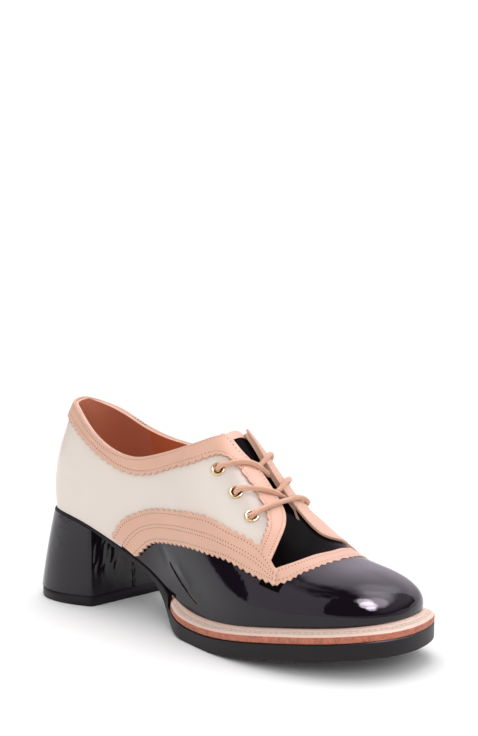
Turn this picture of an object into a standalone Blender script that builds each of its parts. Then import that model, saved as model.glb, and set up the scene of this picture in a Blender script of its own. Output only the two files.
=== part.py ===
"""Block-heeled derby shoe with three pairs of eyelets, right foot.

+X runs from the heel to the toe, +Z is up and -Y is the outer side of the foot.
All lengths are in metres. The shoe stands on z = 0, centred on its own bounding box.
"""
import bisect
import math

import bmesh
import bpy
from mathutils import Matrix, Vector

# Driving dimensions of the last.
LAST_LENGTH = 0.2565
BALL_WIDTH = 0.084
SEAT_RISE = 0.0407
CROWN_HEIGHT = 0.0935
BACK_LEAN = 0.009
BACK_PUFF = 0.003

# Driving dimensions of the bottom.
WELT_THICKNESS = 0.0042
WELT_SLOPE = 0.0026
WELT_MARGIN = 0.0062
WELT_LAP = 0.005
WELT_START = 0.120
WELT_TIP = 0.005
OUTSOLE_THICKNESS = 0.0087
SHANK_THICKNESS = 0.0034
SEAT_THICKNESS = 0.0014
TREAD_WEAR = 0.0006
SEAT_MARGIN = 0.001
FOREPART_START = 0.099
FOREPART_RAMP = 0.030
LEDGE_START = 0.109
HEEL_BREAST = 0.0505
HEEL_FLARE = 0.0068
LIFT_THICKNESS = 0.0063
BREAST_SEAM_WIDTH = 0.0013
BREAST_SEAM_DEPTH = 0.0013

# Driving dimensions of the upper and what sits on it.
WALL = 0.0018
INSOLE_THICKNESS = 0.0022
INSOLE_EASE = 0.002
OVERLAY = 0.0011
OVERLAY_GAP = 0.0006
TONGUE_THICKNESS = 0.0016
EYELET_BORE = 0.0021
EYELET_WALL = 0.0005
EYELET_FLANGE = 0.00375
EYELET_RIM = 0.0008
LACE_RADIUS = 0.0015
GAP = 0.0003

OUTER = -1
INNER = 1
STATIONS_PER_ROW = 5
CLIMB_ROWS = 12
RIDGE_CROWDING = 1.35
STEP = 0.002

# One row for each section of the last, heel to toe. Along is a share of LAST_LENGTH; outer, inner
# and ridge are shares of BALL_WIDTH; rise is a share of SEAT_RISE and crown of CROWN_HEIGHT.
# Fullness is the power that draws the section's sides: under 1 they stand out, over 1 they fall in.
SECTION_COLUMNS = ("along", "outer", "inner", "ridge", "rise", "crown", "fullness")
SECTIONS = (
    (0.000, -0.012, -0.012, -0.012, 1.000, 1.000, 2.30),
    (0.0175, -0.244, 0.220, -0.012, 1.000, 1.000, 2.40),
    (0.072, -0.375, 0.345, -0.012, 0.988, 0.995, 2.30),
    (0.166, -0.393, 0.363, -0.006, 0.889, 0.984, 1.60),
    (0.267, -0.351, 0.321, 0.006, 0.656, 1.010, 1.05),
    (0.380, -0.327, 0.304, 0.036, 0.361, 1.053, 0.85),
    (0.497, -0.393, 0.351, 0.060, 0.066, 1.086, 0.90),
    (0.610, -0.470, 0.429, 0.071, 0.000, 0.815, 0.90),
    (0.719, -0.512, 0.488, 0.071, 0.066, 0.508, 0.82),
    (0.821, -0.482, 0.470, 0.060, 0.157, 0.324, 0.75),
    (0.906, -0.393, 0.440, 0.065, 0.221, 0.243, 0.70),
    (0.973, -0.232, 0.345, 0.071, 0.270, 0.141, 0.75),
    (1.000, 0.048, 0.048, 0.048, 0.285, 0.000, 0.70),
)
LAST_ROW = len(SECTIONS) - 1
BULGE = 0.07
LEAN_REACH = 3.4
COLLAR_CLIMB = 0.68

# Edges drawn on the last. A point is (station, climb): the station counts rows of SECTIONS, and
# climb runs from 0 at the feather line to 1 at the ridge.
COLLAR_OUTER = ((0.0, 0.495), (1.25, 0.480), (2.2, 0.458), (2.7, 0.430), (3.4, 0.391), (4.1, 0.387),
                (4.65, 0.426), (5.0, 0.471), (5.5, 0.545), (6.0, 0.665), (6.2, 0.765), (6.33, 0.860))
COLLAR_INNER = ((0.0, 0.495), (1.25, 0.455), (2.2, 0.410), (2.7, 0.376), (3.4, 0.372), (4.1, 0.405),
                (4.65, 0.445), (5.0, 0.485), (5.5, 0.560), (6.0, 0.675), (6.2, 0.775), (6.33, 0.870))
COLLAR_HEM = ((0.0, 0.425), (1.25, 0.405), (2.0, 0.383), (3.07, 0.331), (3.7, 0.310), (4.2, 0.312),
              (4.67, 0.342), (5.14, 0.398), (5.6, 0.466), (6.03, 0.546), (6.33, 0.655))
FACING_FRONT = ((6.345, 0.865), (6.64, 0.893), (6.86, 0.929), (7.07, 0.952), (7.31, 0.957),
                (7.58, 0.951), (7.75, 0.936), (7.90, 0.900), (8.05, 0.837), (8.15, 0.773),
                (8.25, 0.697), (8.33, 0.620))
FACING_FRONT_INNER = ((6.345, 0.865), (6.64, 0.893), (6.86, 0.929), (7.07, 0.952), (7.31, 0.958),
                      (7.58, 0.961), (7.85, 0.962), (8.10, 0.960), (8.32, 0.945), (8.46, 0.890),
                      (8.50, 0.800), (8.48, 0.710), (8.42, 0.630))
FACING_BACK = ((6.345, 0.662), (6.52, 0.746), (6.68, 0.784), (6.95, 0.810), (7.12, 0.824),
               (7.34, 0.823), (7.50, 0.817), (7.65, 0.800), (7.78, 0.760), (7.86, 0.710),
               (7.93, 0.660), (8.00, 0.640))
SIDE_TOP = ((3.92, 0.022), (4.07, 0.072), (4.29, 0.129), (4.57, 0.177), (4.93, 0.230), (5.40, 0.280),
            (5.93, 0.332), (6.49, 0.405), (6.82, 0.458), (7.15, 0.504), (7.45, 0.552), (7.83, 0.610),
            (8.05, 0.620), (8.30, 0.600), (8.49, 0.570))
SIDE_HEM = ((4.66, 0.010), (4.88, 0.062), (5.14, 0.115), (5.40, 0.148), (6.03, 0.207), (6.47, 0.249),
            (6.88, 0.290), (7.25, 0.333), (7.60, 0.373), (7.94, 0.394), (8.27, 0.407), (8.69, 0.415))
VAMP_BAND_TOP = ((8.52, 0.567), (8.67, 0.682), (8.76, 0.807), (8.80, 0.932), (8.82, 1.0))
VAMP_BAND_HEM = ((8.72, 0.415), (8.96, 0.521), (9.06, 0.653), (9.13, 0.730), (9.17, 0.811),
                 (9.20, 0.913), (9.21, 1.0))
THROAT_START = 7.72
THROAT_END = 7.95
FACING_SETBACK = 0.006
TONGUE_START = 6.22
TONGUE_END = 8.75
TONGUE_CLIMB = 0.72
EYELET_PLACES = ((6.57, 0.669), (7.04, 0.698), (7.50, 0.706))
LACE_DIP = 0.030
LACE_SLANT = 0.40
LACE_SAG = 0.06


def tangents(values, flat_start, flat_end):
    """Slopes of the smooth curve through values at 0, 1, 2 ...; an end is flat or runs straight out."""
    count = len(values)
    lower = [1.0] * count
    middle = [4.0] * count
    upper = [1.0] * count
    right = [0.0] * count
    for i in range(1, count - 1):
        right[i] = 3 * (values[i + 1] - values[i - 1])
    middle[0], upper[0], right[0] = (1, 0, 0) if flat_start else (2, 1, 3 * (values[1] - values[0]))
    middle[-1], lower[-1], right[-1] = (1, 0, 0) if flat_end else (2, 1, 3 * (values[-1] - values[-2]))
    for i in range(1, count):
        factor = lower[i] / middle[i - 1]
        middle[i] -= factor * upper[i - 1]
        right[i] -= factor * right[i - 1]
    slopes = [0.0] * count
    slopes[-1] = right[-1] / middle[-1]
    for i in range(count - 2, -1, -1):
        slopes[i] = (right[i] - upper[i] * slopes[i + 1]) / middle[i]
    return slopes


def ring_tangents(values):
    """Slopes of the smooth closed curve through values, found by relaxing the spline's equations."""
    count = len(values)
    slopes = [0.0] * count
    for _ in range(40):
        for i in range(count):
            reach = values[(i + 1) % count] - values[i - 1]
            slopes[i] = (3 * reach - slopes[i - 1] - slopes[(i + 1) % count]) / 4
    return slopes


def read_curve(curve, station):
    """Value at a station of a (values, slopes) curve."""
    values, slopes = curve
    station = min(max(station, 0.0), len(values) - 1.000001)
    i = int(station)
    t = station - i
    start = (2 * t ** 3 - 3 * t ** 2 + 1) * values[i] + (t ** 3 - 2 * t ** 2 + t) * slopes[i]
    return start + (3 * t ** 2 - 2 * t ** 3) * values[i + 1] + (t ** 3 - t ** 2) * slopes[i + 1]


def last_curves():
    """Curves of the last by column name, in metres, and the two edges of the feather line."""
    column = {name: [row[i] for row in SECTIONS] for i, name in enumerate(SECTION_COLUMNS)}
    sizes = {"along": LAST_LENGTH, "ridge": BALL_WIDTH, "rise": SEAT_RISE, "crown": CROWN_HEIGHT,
             "fullness": 1.0}
    ends = {"along": (True, True), "ridge": (True, False), "rise": (True, True),
            "crown": (True, False), "fullness": (True, True)}
    curves = {}
    for name, size in sizes.items():
        values = [size * value for value in column[name]]
        curves[name] = (values, tangents(values, *ends[name]))
    ring = [BALL_WIDTH * y for y in column["outer"] + column["inner"][-2:0:-1]]
    slopes = ring_tangents(ring)
    curves[OUTER] = (ring[:LAST_ROW + 1], slopes[:LAST_ROW + 1])
    back_values = [ring[0]] + ring[:LAST_ROW - 1:-1]
    back_slopes = [-slopes[0]] + [-slope for slope in slopes[:LAST_ROW - 1:-1]]
    curves[INNER] = (back_values, back_slopes)
    return curves


CURVES = last_curves()
STACK = OUTSOLE_THICKNESS + WELT_THICKNESS + WELT_SLOPE + GAP - TREAD_WEAR


def smooth(value):
    """Smooth step from 0 to 1."""
    value = min(max(value, 0.0), 1.0)
    return value * value * (3 - 2 * value)


def feather_height(station):
    """Height of the feather line, where the upper turns in over the sole."""
    return STACK + read_curve(CURVES["rise"], station)


STATION_TABLE = [i * LAST_ROW / 480 for i in range(481)]
ALONG_TABLE = [read_curve(CURVES["along"], station) for station in STATION_TABLE]


def station_at(x):
    """Station whose section stands at x."""
    i = min(max(bisect.bisect_left(ALONG_TABLE, x), 1), len(ALONG_TABLE) - 1)
    span = max(ALONG_TABLE[i] - ALONG_TABLE[i - 1], 1e-9)
    t = min(max((x - ALONG_TABLE[i - 1]) / span, 0.0), 1.0)
    return STATION_TABLE[i - 1] + t * (STATION_TABLE[i] - STATION_TABLE[i - 1])


def seat_plane(x):
    """Height of the feather line at x, held level past both ends."""
    return feather_height(station_at(x))


def last_point(station, across):
    """Point of the last: across is -1 at the outer feather line, 0 on the ridge, 1 at the inner one."""
    if station < 0:
        station, across = -station, -across
    if station > LAST_ROW:
        station, across = 2 * LAST_ROW - station, -across
    side = OUTER if across < 0 else INNER
    climb = 1 - abs(across)
    angle = climb * math.pi / 2
    ridge = read_curve(CURVES["ridge"], station)
    edge = read_curve(CURVES[side], station)
    spread = max(math.cos(angle), 0.0) ** read_curve(CURVES["fullness"], station)
    spread *= 1 + BULGE * math.sin(2 * angle)
    rise = math.sin(angle)
    back = smooth(1 - station / LEAN_REACH)
    puff = math.sin(math.pi * min(rise / COLLAR_CLIMB, 1.0) ** 0.8)
    lean = BACK_LEAN * (rise / COLLAR_CLIMB) ** 2 - BACK_PUFF * puff
    x = read_curve(CURVES["along"], station) + back * lean
    y = ridge + (edge - ridge) * spread
    return Vector((x, y, feather_height(station) + rise * read_curve(CURVES["crown"], station)))


def last_normal(station, across):
    """Outward normal of the last."""
    station = min(station, LAST_ROW - 0.03)
    across = min(max(across, STEP - 1), 1 - STEP)
    forward = last_point(station + STEP, across) - last_point(station - STEP, across)
    over = last_point(station, across + STEP) - last_point(station, across - STEP)
    return forward.cross(over).normalized()


def on_last(station, across, height):
    """Point at a height over the last's surface, measured along its normal."""
    return last_point(station, across) + height * last_normal(station, across)


def edge_climb(points, station):
    """Climb of a drawn edge at a station, joined straight from point to point."""
    for (s0, c0), (s1, c1) in zip(points, points[1:]):
        if station <= s1:
            return c0 + (c1 - c0) * max(station - s0, 0.0) / (s1 - s0)
    return points[-1][1]


def along_edge(points, share):
    """(station, climb) at a share of a drawn edge's length."""
    lengths = [math.hypot(s1 - s0, 4 * (c1 - c0)) for (s0, c0), (s1, c1) in zip(points, points[1:])]
    left = share * sum(lengths)
    for length, (s0, c0), (s1, c1) in zip(lengths, points, points[1:]):
        if left <= length:
            t = left / length
            return s0 + t * (s1 - s0), c0 + t * (c1 - c0)
        left -= length
    return points[-1]


def rim_point(station, side, margin):
    """Plan point of the feather line, moved outwards by a margin."""
    def plan(at):
        point = last_point(at, side)
        return Vector((read_curve(CURVES["along"], abs(at)) if at <= LAST_ROW else
                       read_curve(CURVES["along"], 2 * LAST_ROW - at), point.y))
    direction = plan(station + STEP) - plan(station - STEP)
    outward = Vector((direction.y, -direction.x)).normalized() * -side
    return plan(station) + margin * outward


def make_material(name, colour, roughness, metallic=0.0):
    """Material with one colour."""
    material = bpy.data.materials.new(name)
    material.use_nodes = True
    shader = material.node_tree.nodes["Principled BSDF"]
    shader.inputs["Base Color"].default_value = (*colour, 1.0)
    shader.inputs["Roughness"].default_value = roughness
    shader.inputs["Metallic"].default_value = metallic
    material.diffuse_color = (*colour, 1.0)
    return material


def add_object(name, mesh_data, material, sharp_degrees=40):
    """Scene object from a bmesh, shaded smooth with sharp corners kept."""
    bmesh.ops.recalc_face_normals(mesh_data, faces=mesh_data.faces)
    mesh = bpy.data.meshes.new(name)
    mesh_data.to_mesh(mesh)
    mesh_data.free()
    mesh.materials.append(material)
    mesh.shade_smooth()
    mesh.set_sharp_from_angle(angle=math.radians(sharp_degrees))
    item = bpy.data.objects.new(name, mesh)
    bpy.context.collection.objects.link(item)
    return item


def shell_mesh(columns, low, high):
    """Closed shell over a list of columns of (station, across), between two heights over the last."""
    mesh_data = bmesh.new()
    sides = []
    for height in (low, high):
        sides.append([[mesh_data.verts.new(on_last(*place, height)) for place in column]
                      for column in columns])
    rows = len(columns[0])
    for i in range(len(columns) - 1):
        for j in range(rows - 1):
            for skin, flip in zip(sides, (1, -1)):
                ring = (skin[i][j], skin[i + 1][j], skin[i + 1][j + 1], skin[i][j + 1])
                mesh_data.faces.new(ring[::flip])
    inside, outside = sides
    for i in range(len(columns) - 1):
        mesh_data.faces.new((inside[i][0], outside[i][0], outside[i + 1][0], inside[i + 1][0]))
        mesh_data.faces.new((inside[i][-1], inside[i + 1][-1], outside[i + 1][-1], outside[i][-1]))
    for j in range(rows - 1):
        mesh_data.faces.new((inside[0][j], inside[0][j + 1], outside[0][j + 1], outside[0][j]))
        mesh_data.faces.new((inside[-1][j], outside[-1][j], outside[-1][j + 1], inside[-1][j + 1]))
    return mesh_data


def swept_mesh(rings, closed_ends=True):
    """Closed body through rings of the same number of points."""
    mesh_data = bmesh.new()
    loops = [[mesh_data.verts.new(point) for point in ring] for ring in rings]
    for first, second in zip(loops, loops[1:]):
        for i in range(len(first)):
            j = (i + 1) % len(first)
            mesh_data.faces.new((first[i], first[j], second[j], second[i]))
    if closed_ends:
        mesh_data.faces.new(loops[0][::-1])
        mesh_data.faces.new(loops[-1])
    return mesh_data


def forepart(x):
    """0 behind the waist, 1 under the forepart."""
    return smooth((x - FOREPART_START) / FOREPART_RAMP)


def sole_bottom(x):
    """Height of the outsole's underside: thin over the heel and the waist, level under the ball."""
    full = OUTSOLE_THICKNESS + WELT_THICKNESS + WELT_SLOPE + GAP
    waist = smooth((x - HEEL_BREAST) / FOREPART_RAMP)
    shank = SEAT_THICKNESS + (SHANK_THICKNESS - SEAT_THICKNESS) * waist
    thickness = shank + (full - shank) * forepart(x)
    return max(seat_plane(x) - thickness, 0.0)


def edge_margin(x):
    """How far the sole stands out past the feather line."""
    return SEAT_MARGIN + (WELT_MARGIN - SEAT_MARGIN) * smooth((x - LEDGE_START) / FOREPART_RAMP)


def stations(start, end):
    """Stations between two limits, close together towards the toe."""
    count = max(round((end - start) * STATIONS_PER_ROW), 2)
    return [start + (end - start) * i / count for i in range(count + 1)]


def plate_mesh(margin, bottom, top):
    """Closed plate with the plan of the last, grown by a margin, between two heights given by x."""
    mesh_data = bmesh.new()
    walk = stations(0.0, LAST_ROW)
    loops = []
    for station in walk:
        loop = []
        for side, height in ((OUTER, bottom), (OUTER, top), (INNER, top), (INNER, bottom)):
            plan = rim_point(station, side, margin(read_curve(CURVES["along"], station)))
            loop.append(mesh_data.verts.new((plan.x, plan.y, height(plan.x))))
        loops.append(loop)
    for first, second in zip(loops, loops[1:]):
        for i in range(4):
            j = (i + 1) % 4
            mesh_data.faces.new((first[i], first[j], second[j], second[i]))
    bmesh.ops.remove_doubles(mesh_data, verts=mesh_data.verts, dist=1e-7)
    return mesh_data


def build_outsole(material):
    """Outsole: thin seat and waist, thick forepart with a ledge for the welt."""
    outsole = add_object("outsole", plate_mesh(edge_margin, sole_bottom, seat_plane), material)
    cut(outsole, add_object("welt_ledge_cutter", welt_mesh(GAP), material))


def welt_mesh(grow):
    """U-shaped strip round the forepart; grow widens it downwards, inwards and past its edge."""
    rings = []
    start = station_at(WELT_START - grow)
    outer = stations(start, LAST_ROW)
    walk = [(station, OUTER) for station in outer] + [(station, INNER) for station in outer[-2::-1]]
    for station, side in walk:
        x = read_curve(CURVES["along"], station)
        inside = -WELT_LAP - grow
        margin = edge_margin(x) + (0.02 if grow else 0.0)
        tip = math.sqrt(min(max((x - WELT_START) / WELT_TIP, 0.04), 1.0)) if not grow else 1.0
        ring = []
        for distance, height in ((inside, None), (margin * tip, None), (margin * tip, -WELT_SLOPE),
                                 (0.0, 0.0), (inside, 0.0)):
            plan = rim_point(station, side, distance)
            base = seat_plane(plan.x)
            floor = base - WELT_SLOPE - WELT_THICKNESS - grow
            top = base + (height or 0.0) + (0.01 if grow else 0.0)
            ring.append(Vector((plan.x, plan.y, floor if height is None else top)))
        rings.append(ring)
    return swept_mesh(rings)


def cut(target, cutter):
    """Boolean difference that keeps the cutter as a hidden guide."""
    cutter.hide_render = True
    cutter.display_type = "WIRE"
    modifier = target.modifiers.new(cutter.name, "BOOLEAN")
    modifier.operation = "DIFFERENCE"
    modifier.solver = "EXACT"
    modifier.object = cutter


def heel_outline(flare, x_breast, inset=0.0):
    """Plan outline of the heel from the outer front corner round the back to the inner one."""
    start = station_at(x_breast)
    count = 14
    outline = []
    for i in range(-count, count + 1):
        share = abs(i) / count
        station = start * share ** 0.8
        side = OUTER if i < 0 else INNER
        x = read_curve(CURVES["along"], station)
        spread = SEAT_MARGIN + flare * (1 - (x / x_breast) ** 2) - inset
        outline.append(rim_point(station, side, spread))
    outline.reverse()
    for end in (0, -1):
        outline[end].x = x_breast - inset
    return outline


def heel_ring(share, inset=0.0):
    """Heel outline at a share of its height from the top, 0, to the bottom, 1."""
    flare = HEEL_FLARE * (1 - (1 - share) ** 2)
    return heel_outline(flare, HEEL_BREAST, inset)


def build_heel(materials):
    """Covered heel block with a seam down its breast, and the top lift under it."""
    rings = []
    levels = 6
    floor = LIFT_THICKNESS + GAP
    for level in range(levels + 1):
        share = level / levels
        ring = []
        for plan in heel_ring(share):
            top = sole_bottom(plan.x) - GAP
            ring.append(Vector((plan.x, plan.y, top + (floor - top) * share)))
        rings.append(ring)
    heel = add_object("heel", swept_mesh(rings), materials["patent"])
    seam = bmesh.new()
    bmesh.ops.create_cube(seam, size=1.0)
    middle = BALL_WIDTH * SECTIONS[3][3]
    size = (2 * BREAST_SEAM_DEPTH, BREAST_SEAM_WIDTH, 0.2)
    place = Matrix.Translation((HEEL_BREAST, middle, 0.0)) @ Matrix.Diagonal((*size, 1.0))
    bmesh.ops.transform(seam, matrix=place, verts=seam.verts)
    cut(heel, add_object("breast_seam_cutter", seam, materials["patent"]))
    lift_rings = [[Vector((plan.x, plan.y, z)) for plan in heel_ring(1.0)] for z in (LIFT_THICKNESS, 0.0)]
    add_object("heel_lift", swept_mesh(lift_rings), materials["rubber"])


def build_insole(material):
    """Insole lying inside the feather line of the upper."""
    margin = -(WALL + 2 * GAP + INSOLE_EASE)
    mesh_data = plate_mesh(lambda x: margin, lambda x: seat_plane(x) + GAP,
                           lambda x: seat_plane(x) + GAP + INSOLE_THICKNESS)
    add_object("insole", mesh_data, material)


def top_climb(station, side):
    """Climb of the upper's top edge: collar, then facing, then the closed ridge of the vamp."""
    if station <= COLLAR_OUTER[-1][0]:
        return edge_climb(COLLAR_OUTER if side == OUTER else COLLAR_INNER, station)
    if station <= THROAT_START:
        return max(edge_climb(FACING_FRONT, min(station, 7.6)) - FACING_SETBACK, 0.0)
    return 1.0 if station >= THROAT_END else None


def upper_stations():
    """Stations of the upper, with one on the facing corner and one on each end of the throat."""
    corner = COLLAR_OUTER[-1][0]
    runs = (stations(0.0, corner), stations(corner, THROAT_START), [THROAT_START, THROAT_END],
            stations(THROAT_END, LAST_ROW))
    return [station for run in runs for station in run[:-1]] + [LAST_ROW]


def build_upper(material):
    """Vamp and quarters as one hollow shell, open at the collar, the throat and underneath."""
    mesh_data = bmesh.new()
    skins = ({}, {})

    def vertex(skin, station, across):
        flipped = station in (0.0, LAST_ROW) and across > 0
        key = (station, round(-across if flipped else across, 6))
        if station == LAST_ROW:
            key = (station, 0.0)
        if key not in skins[skin]:
            height = -WALL if skin else 0.0
            point = on_last(station, across if station < LAST_ROW else 0.0, height)
            skins[skin][key] = mesh_data.verts.new(point + Vector((0, 0, GAP)))
        return skins[skin][key]

    def across_rows(station, side):
        top = top_climb(station, side)
        power = RIDGE_CROWDING if top == 1.0 else 1.0
        return [side * (1 - top * (1 - (1 - row / CLIMB_ROWS) ** power)) for row in range(CLIMB_ROWS + 1)]

    places = upper_stations()
    for side in (OUTER, INNER):
        for near, far in zip(places, places[1:]):
            near_rows = across_rows(near, side)
            far_rows = across_rows(far, side)
            for j in range(CLIMB_ROWS):
                for skin in (0, 1):
                    ring = (vertex(skin, near, near_rows[j]), vertex(skin, far, far_rows[j]),
                            vertex(skin, far, far_rows[j + 1]), vertex(skin, near, near_rows[j + 1]))
                    corners = list(dict.fromkeys(ring))
                    if len(corners) > 2:
                        mesh_data.faces.new(corners if skin == (side == INNER) else corners[::-1])
    partner = {skins[0][key]: skins[1][key] for key in skins[0]}
    rims = [edge for edge in mesh_data.edges if edge.is_boundary and edge.verts[0] in partner]
    for edge in rims:
        first, second = edge.verts
        mesh_data.faces.new((first, second, partner[second], partner[first]))
    upper = add_object("upper", mesh_data, material)
    for number, (station, climb, side) in enumerate(eyelet_spots(), start=1):
        drill = bmesh.new()
        radius = EYELET_BORE + EYELET_WALL + GAP
        bmesh.ops.create_cone(drill, cap_ends=True, segments=16, radius1=radius, radius2=radius, depth=0.012)
        bmesh.ops.transform(drill, matrix=surface_frame(station, side * (1 - climb)), verts=drill.verts)
        cut(upper, add_object(f"eyelet_drill_{number}", drill, material))
    return upper


def eyelet_spots():
    """(station, climb, side) of each eyelet, top pair first."""
    return [(station, climb, side) for side in (OUTER, INNER) for station, climb in EYELET_PLACES]


def surface_frame(station, across):
    """Matrix whose origin lies on the upper and whose Z axis is its outward normal."""
    normal = last_normal(station, across)
    origin = last_point(station, across) + Vector((0, 0, GAP))
    return Matrix.Translation(origin) @ normal.to_track_quat("Z", "Y").to_matrix().to_4x4()


def build_eyelets(material):
    """Rolled eyelets: a flange on the leather and a barrel through it."""
    barrel = EYELET_BORE + EYELET_WALL
    profile = ((EYELET_BORE, -WALL), (EYELET_BORE, GAP + EYELET_RIM), (EYELET_FLANGE, GAP + EYELET_RIM),
               (EYELET_FLANGE, GAP), (barrel, GAP), (barrel, -WALL))
    segments = 16
    for number, (station, climb, side) in enumerate(eyelet_spots(), start=1):
        rings = []
        for i in range(segments + 1):
            turn = 2 * math.pi * (i % segments) / segments
            rings.append([Vector((r * math.cos(turn), r * math.sin(turn), z)) for r, z in profile])
        mesh_data = swept_mesh(rings, closed_ends=False)
        bmesh.ops.remove_doubles(mesh_data, verts=mesh_data.verts, dist=1e-7)
        place = surface_frame(station, side * (1 - climb))
        bmesh.ops.transform(mesh_data, matrix=place, verts=mesh_data.verts)
        add_object(f"eyelet_{number}", mesh_data, material)


def build_tongue(material):
    """Tongue under the facings, with its front end tucked under the vamp."""
    columns = []
    for station in stations(TONGUE_START, TONGUE_END):
        reach = 1 - TONGUE_CLIMB
        columns.append([(station, reach * (2 * row / 10 - 1)) for row in range(11)])
    top = -(WALL + 2 * GAP)
    add_object("tongue", shell_mesh(columns, top - TONGUE_THICKNESS, top), material)


def overlay(name, columns, material):
    """Leather piece laid on the upper."""
    mesh_data = shell_mesh(columns, OVERLAY_GAP, OVERLAY_GAP + OVERLAY)
    bmesh.ops.translate(mesh_data, vec=(0, 0, GAP), verts=mesh_data.verts)
    add_object(name, mesh_data, material)


def build_overlays(material):
    """Collar band, facings, side bands and vamp band."""
    rows = 3
    corner = COLLAR_OUTER[-1][0]
    columns = []
    for side, walk in ((OUTER, stations(0.0, corner)[::-1]), (INNER, stations(0.0, corner)[1:])):
        collar = COLLAR_OUTER if side == OUTER else COLLAR_INNER
        for station in walk:
            low = edge_climb(COLLAR_HEM, station)
            high = edge_climb(collar, station)
            climbs = [low + (high - low) * row / rows for row in range(rows + 1)]
            columns.append([(station, side * (1 - climb)) for climb in climbs])
    overlay("collar_band", columns, material)
    for side, tag in ((OUTER, "outer"), (INNER, "inner")):
        front = FACING_FRONT if side == OUTER else FACING_FRONT_INNER
        pairs = {f"facing_band_{tag}": (FACING_BACK, front), f"side_band_{tag}": (SIDE_HEM, SIDE_TOP)}
        for name, (low_edge, high_edge) in pairs.items():
            columns = []
            count = 20
            for i in range(count + 1):
                s0, c0 = along_edge(low_edge, i / count)
                s1, c1 = along_edge(high_edge, i / count)
                columns.append([(s0 + (s1 - s0) * row / rows, side * (1 - c0 - (c1 - c0) * row / rows))
                                for row in range(rows + 1)])
            overlay(name, columns, material)
    columns = []
    count = 12
    for side, walk in ((OUTER, range(count + 1)), (INNER, range(count - 1, -1, -1))):
        for i in walk:
            s0, c0 = along_edge(VAMP_BAND_TOP, i / count)
            s1, c1 = along_edge(VAMP_BAND_HEM, i / count)
            columns.append([(s0 + (s1 - s0) * row / 2, side * (1 - c0 - (c1 - c0) * row / 2))
                            for row in range(3)])
    overlay("vamp_band", columns, material)


def build_laces(material):
    """One lace bar over each pair of eyelets; the upper two dip between the facings."""
    over = OVERLAY_GAP + OVERLAY + 2 * GAP + LACE_RADIUS
    dip = -(WALL + 2 * GAP) + 2 * GAP + LACE_RADIUS
    names = ("lace_cross_top", "lace_cross_middle", "lace_bar")
    for name, (station, climb) in zip(names, EYELET_PLACES):
        reach = 1 - climb - 0.035
        middle = over if name == "lace_bar" else dip
        shift = LACE_SAG if name == "lace_bar" else LACE_SLANT
        path = []
        for i in range(17):
            share = i / 8 - 1
            bend = smooth(abs(share) * reach / LACE_DIP)
            height = middle + (over - middle) * bend
            place = station + shift * (1 - abs(share)) ** 1.2
            path.append(on_last(place, share * reach, height) + Vector((0, 0, GAP)))
        rings = []
        for i, point in enumerate(path):
            forward = (path[min(i + 1, 16)] - path[max(i - 1, 0)]).normalized()
            side = forward.cross(Vector((0, 0, 1))).normalized()
            lift = side.cross(forward)
            rings.append([point + LACE_RADIUS * (math.cos(a) * side + math.sin(a) * lift)
                          for a in (2 * math.pi * k / 10 for k in range(10))])
        add_object(name, swept_mesh(rings), material)


def centre_on_floor():
    """Move everything so that the shoe stands on z = 0, centred in plan."""
    bpy.context.view_layer.update()
    items = [item for item in bpy.context.scene.objects if item.type == "MESH"]
    solid = [item for item in items if not item.hide_render]
    corners = [vertex.co for item in solid for vertex in item.data.vertices]
    low = Vector((min(c.x for c in corners), min(c.y for c in corners), min(c.z for c in corners)))
    high = Vector((max(c.x for c in corners), max(c.y for c in corners), 0.0))
    shift = Matrix.Translation((-(low.x + high.x) / 2, -(low.y + high.y) / 2, -low.z))
    for item in items:
        item.data.transform(shift)


def main():
    """Build the whole shoe."""
    for item in list(bpy.data.objects):
        bpy.data.objects.remove(item)
    materials = {
        "patent": make_material("black_patent", (0.012, 0.011, 0.013), 0.08),
        "nude": make_material("nude_leather", (0.62, 0.40, 0.29), 0.45),
        "cream": make_material("cream_patent", (0.72, 0.66, 0.60), 0.15),
        "rubber": make_material("black_rubber", (0.02, 0.018, 0.02), 0.55),
        "welt": make_material("tan_welt", (0.38, 0.17, 0.10), 0.5),
        "lining": make_material("brown_lining", (0.24, 0.08, 0.04), 0.6),
        "brass": make_material("brass", (0.60, 0.47, 0.26), 0.25, 1.0),
        "lace": make_material("nude_lace", (0.55, 0.32, 0.22), 0.6),
    }
    build_outsole(materials["rubber"])
    add_object("welt", welt_mesh(0.0), materials["welt"])
    build_heel(materials)
    build_insole(materials["lining"])
    build_upper(materials["cream"])
    build_tongue(materials["patent"])
    build_overlays(materials["nude"])
    build_eyelets(materials["brass"])
    build_laces(materials["lace"])
    centre_on_floor()


main()
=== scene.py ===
"""Looks of the block-heeled derby shoe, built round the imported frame.

The last, and the edges drawn on it, are the same as in the part's source, so that every piece
lies on its solid. Lengths are in metres; +X is the toe, +Z up and -Y the outer side.
"""
from __future__ import annotations

import logging
import math
from dataclasses import dataclass, field
from enum import Enum

import bpy
import numpy as np
from mathutils import Matrix, Vector

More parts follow.
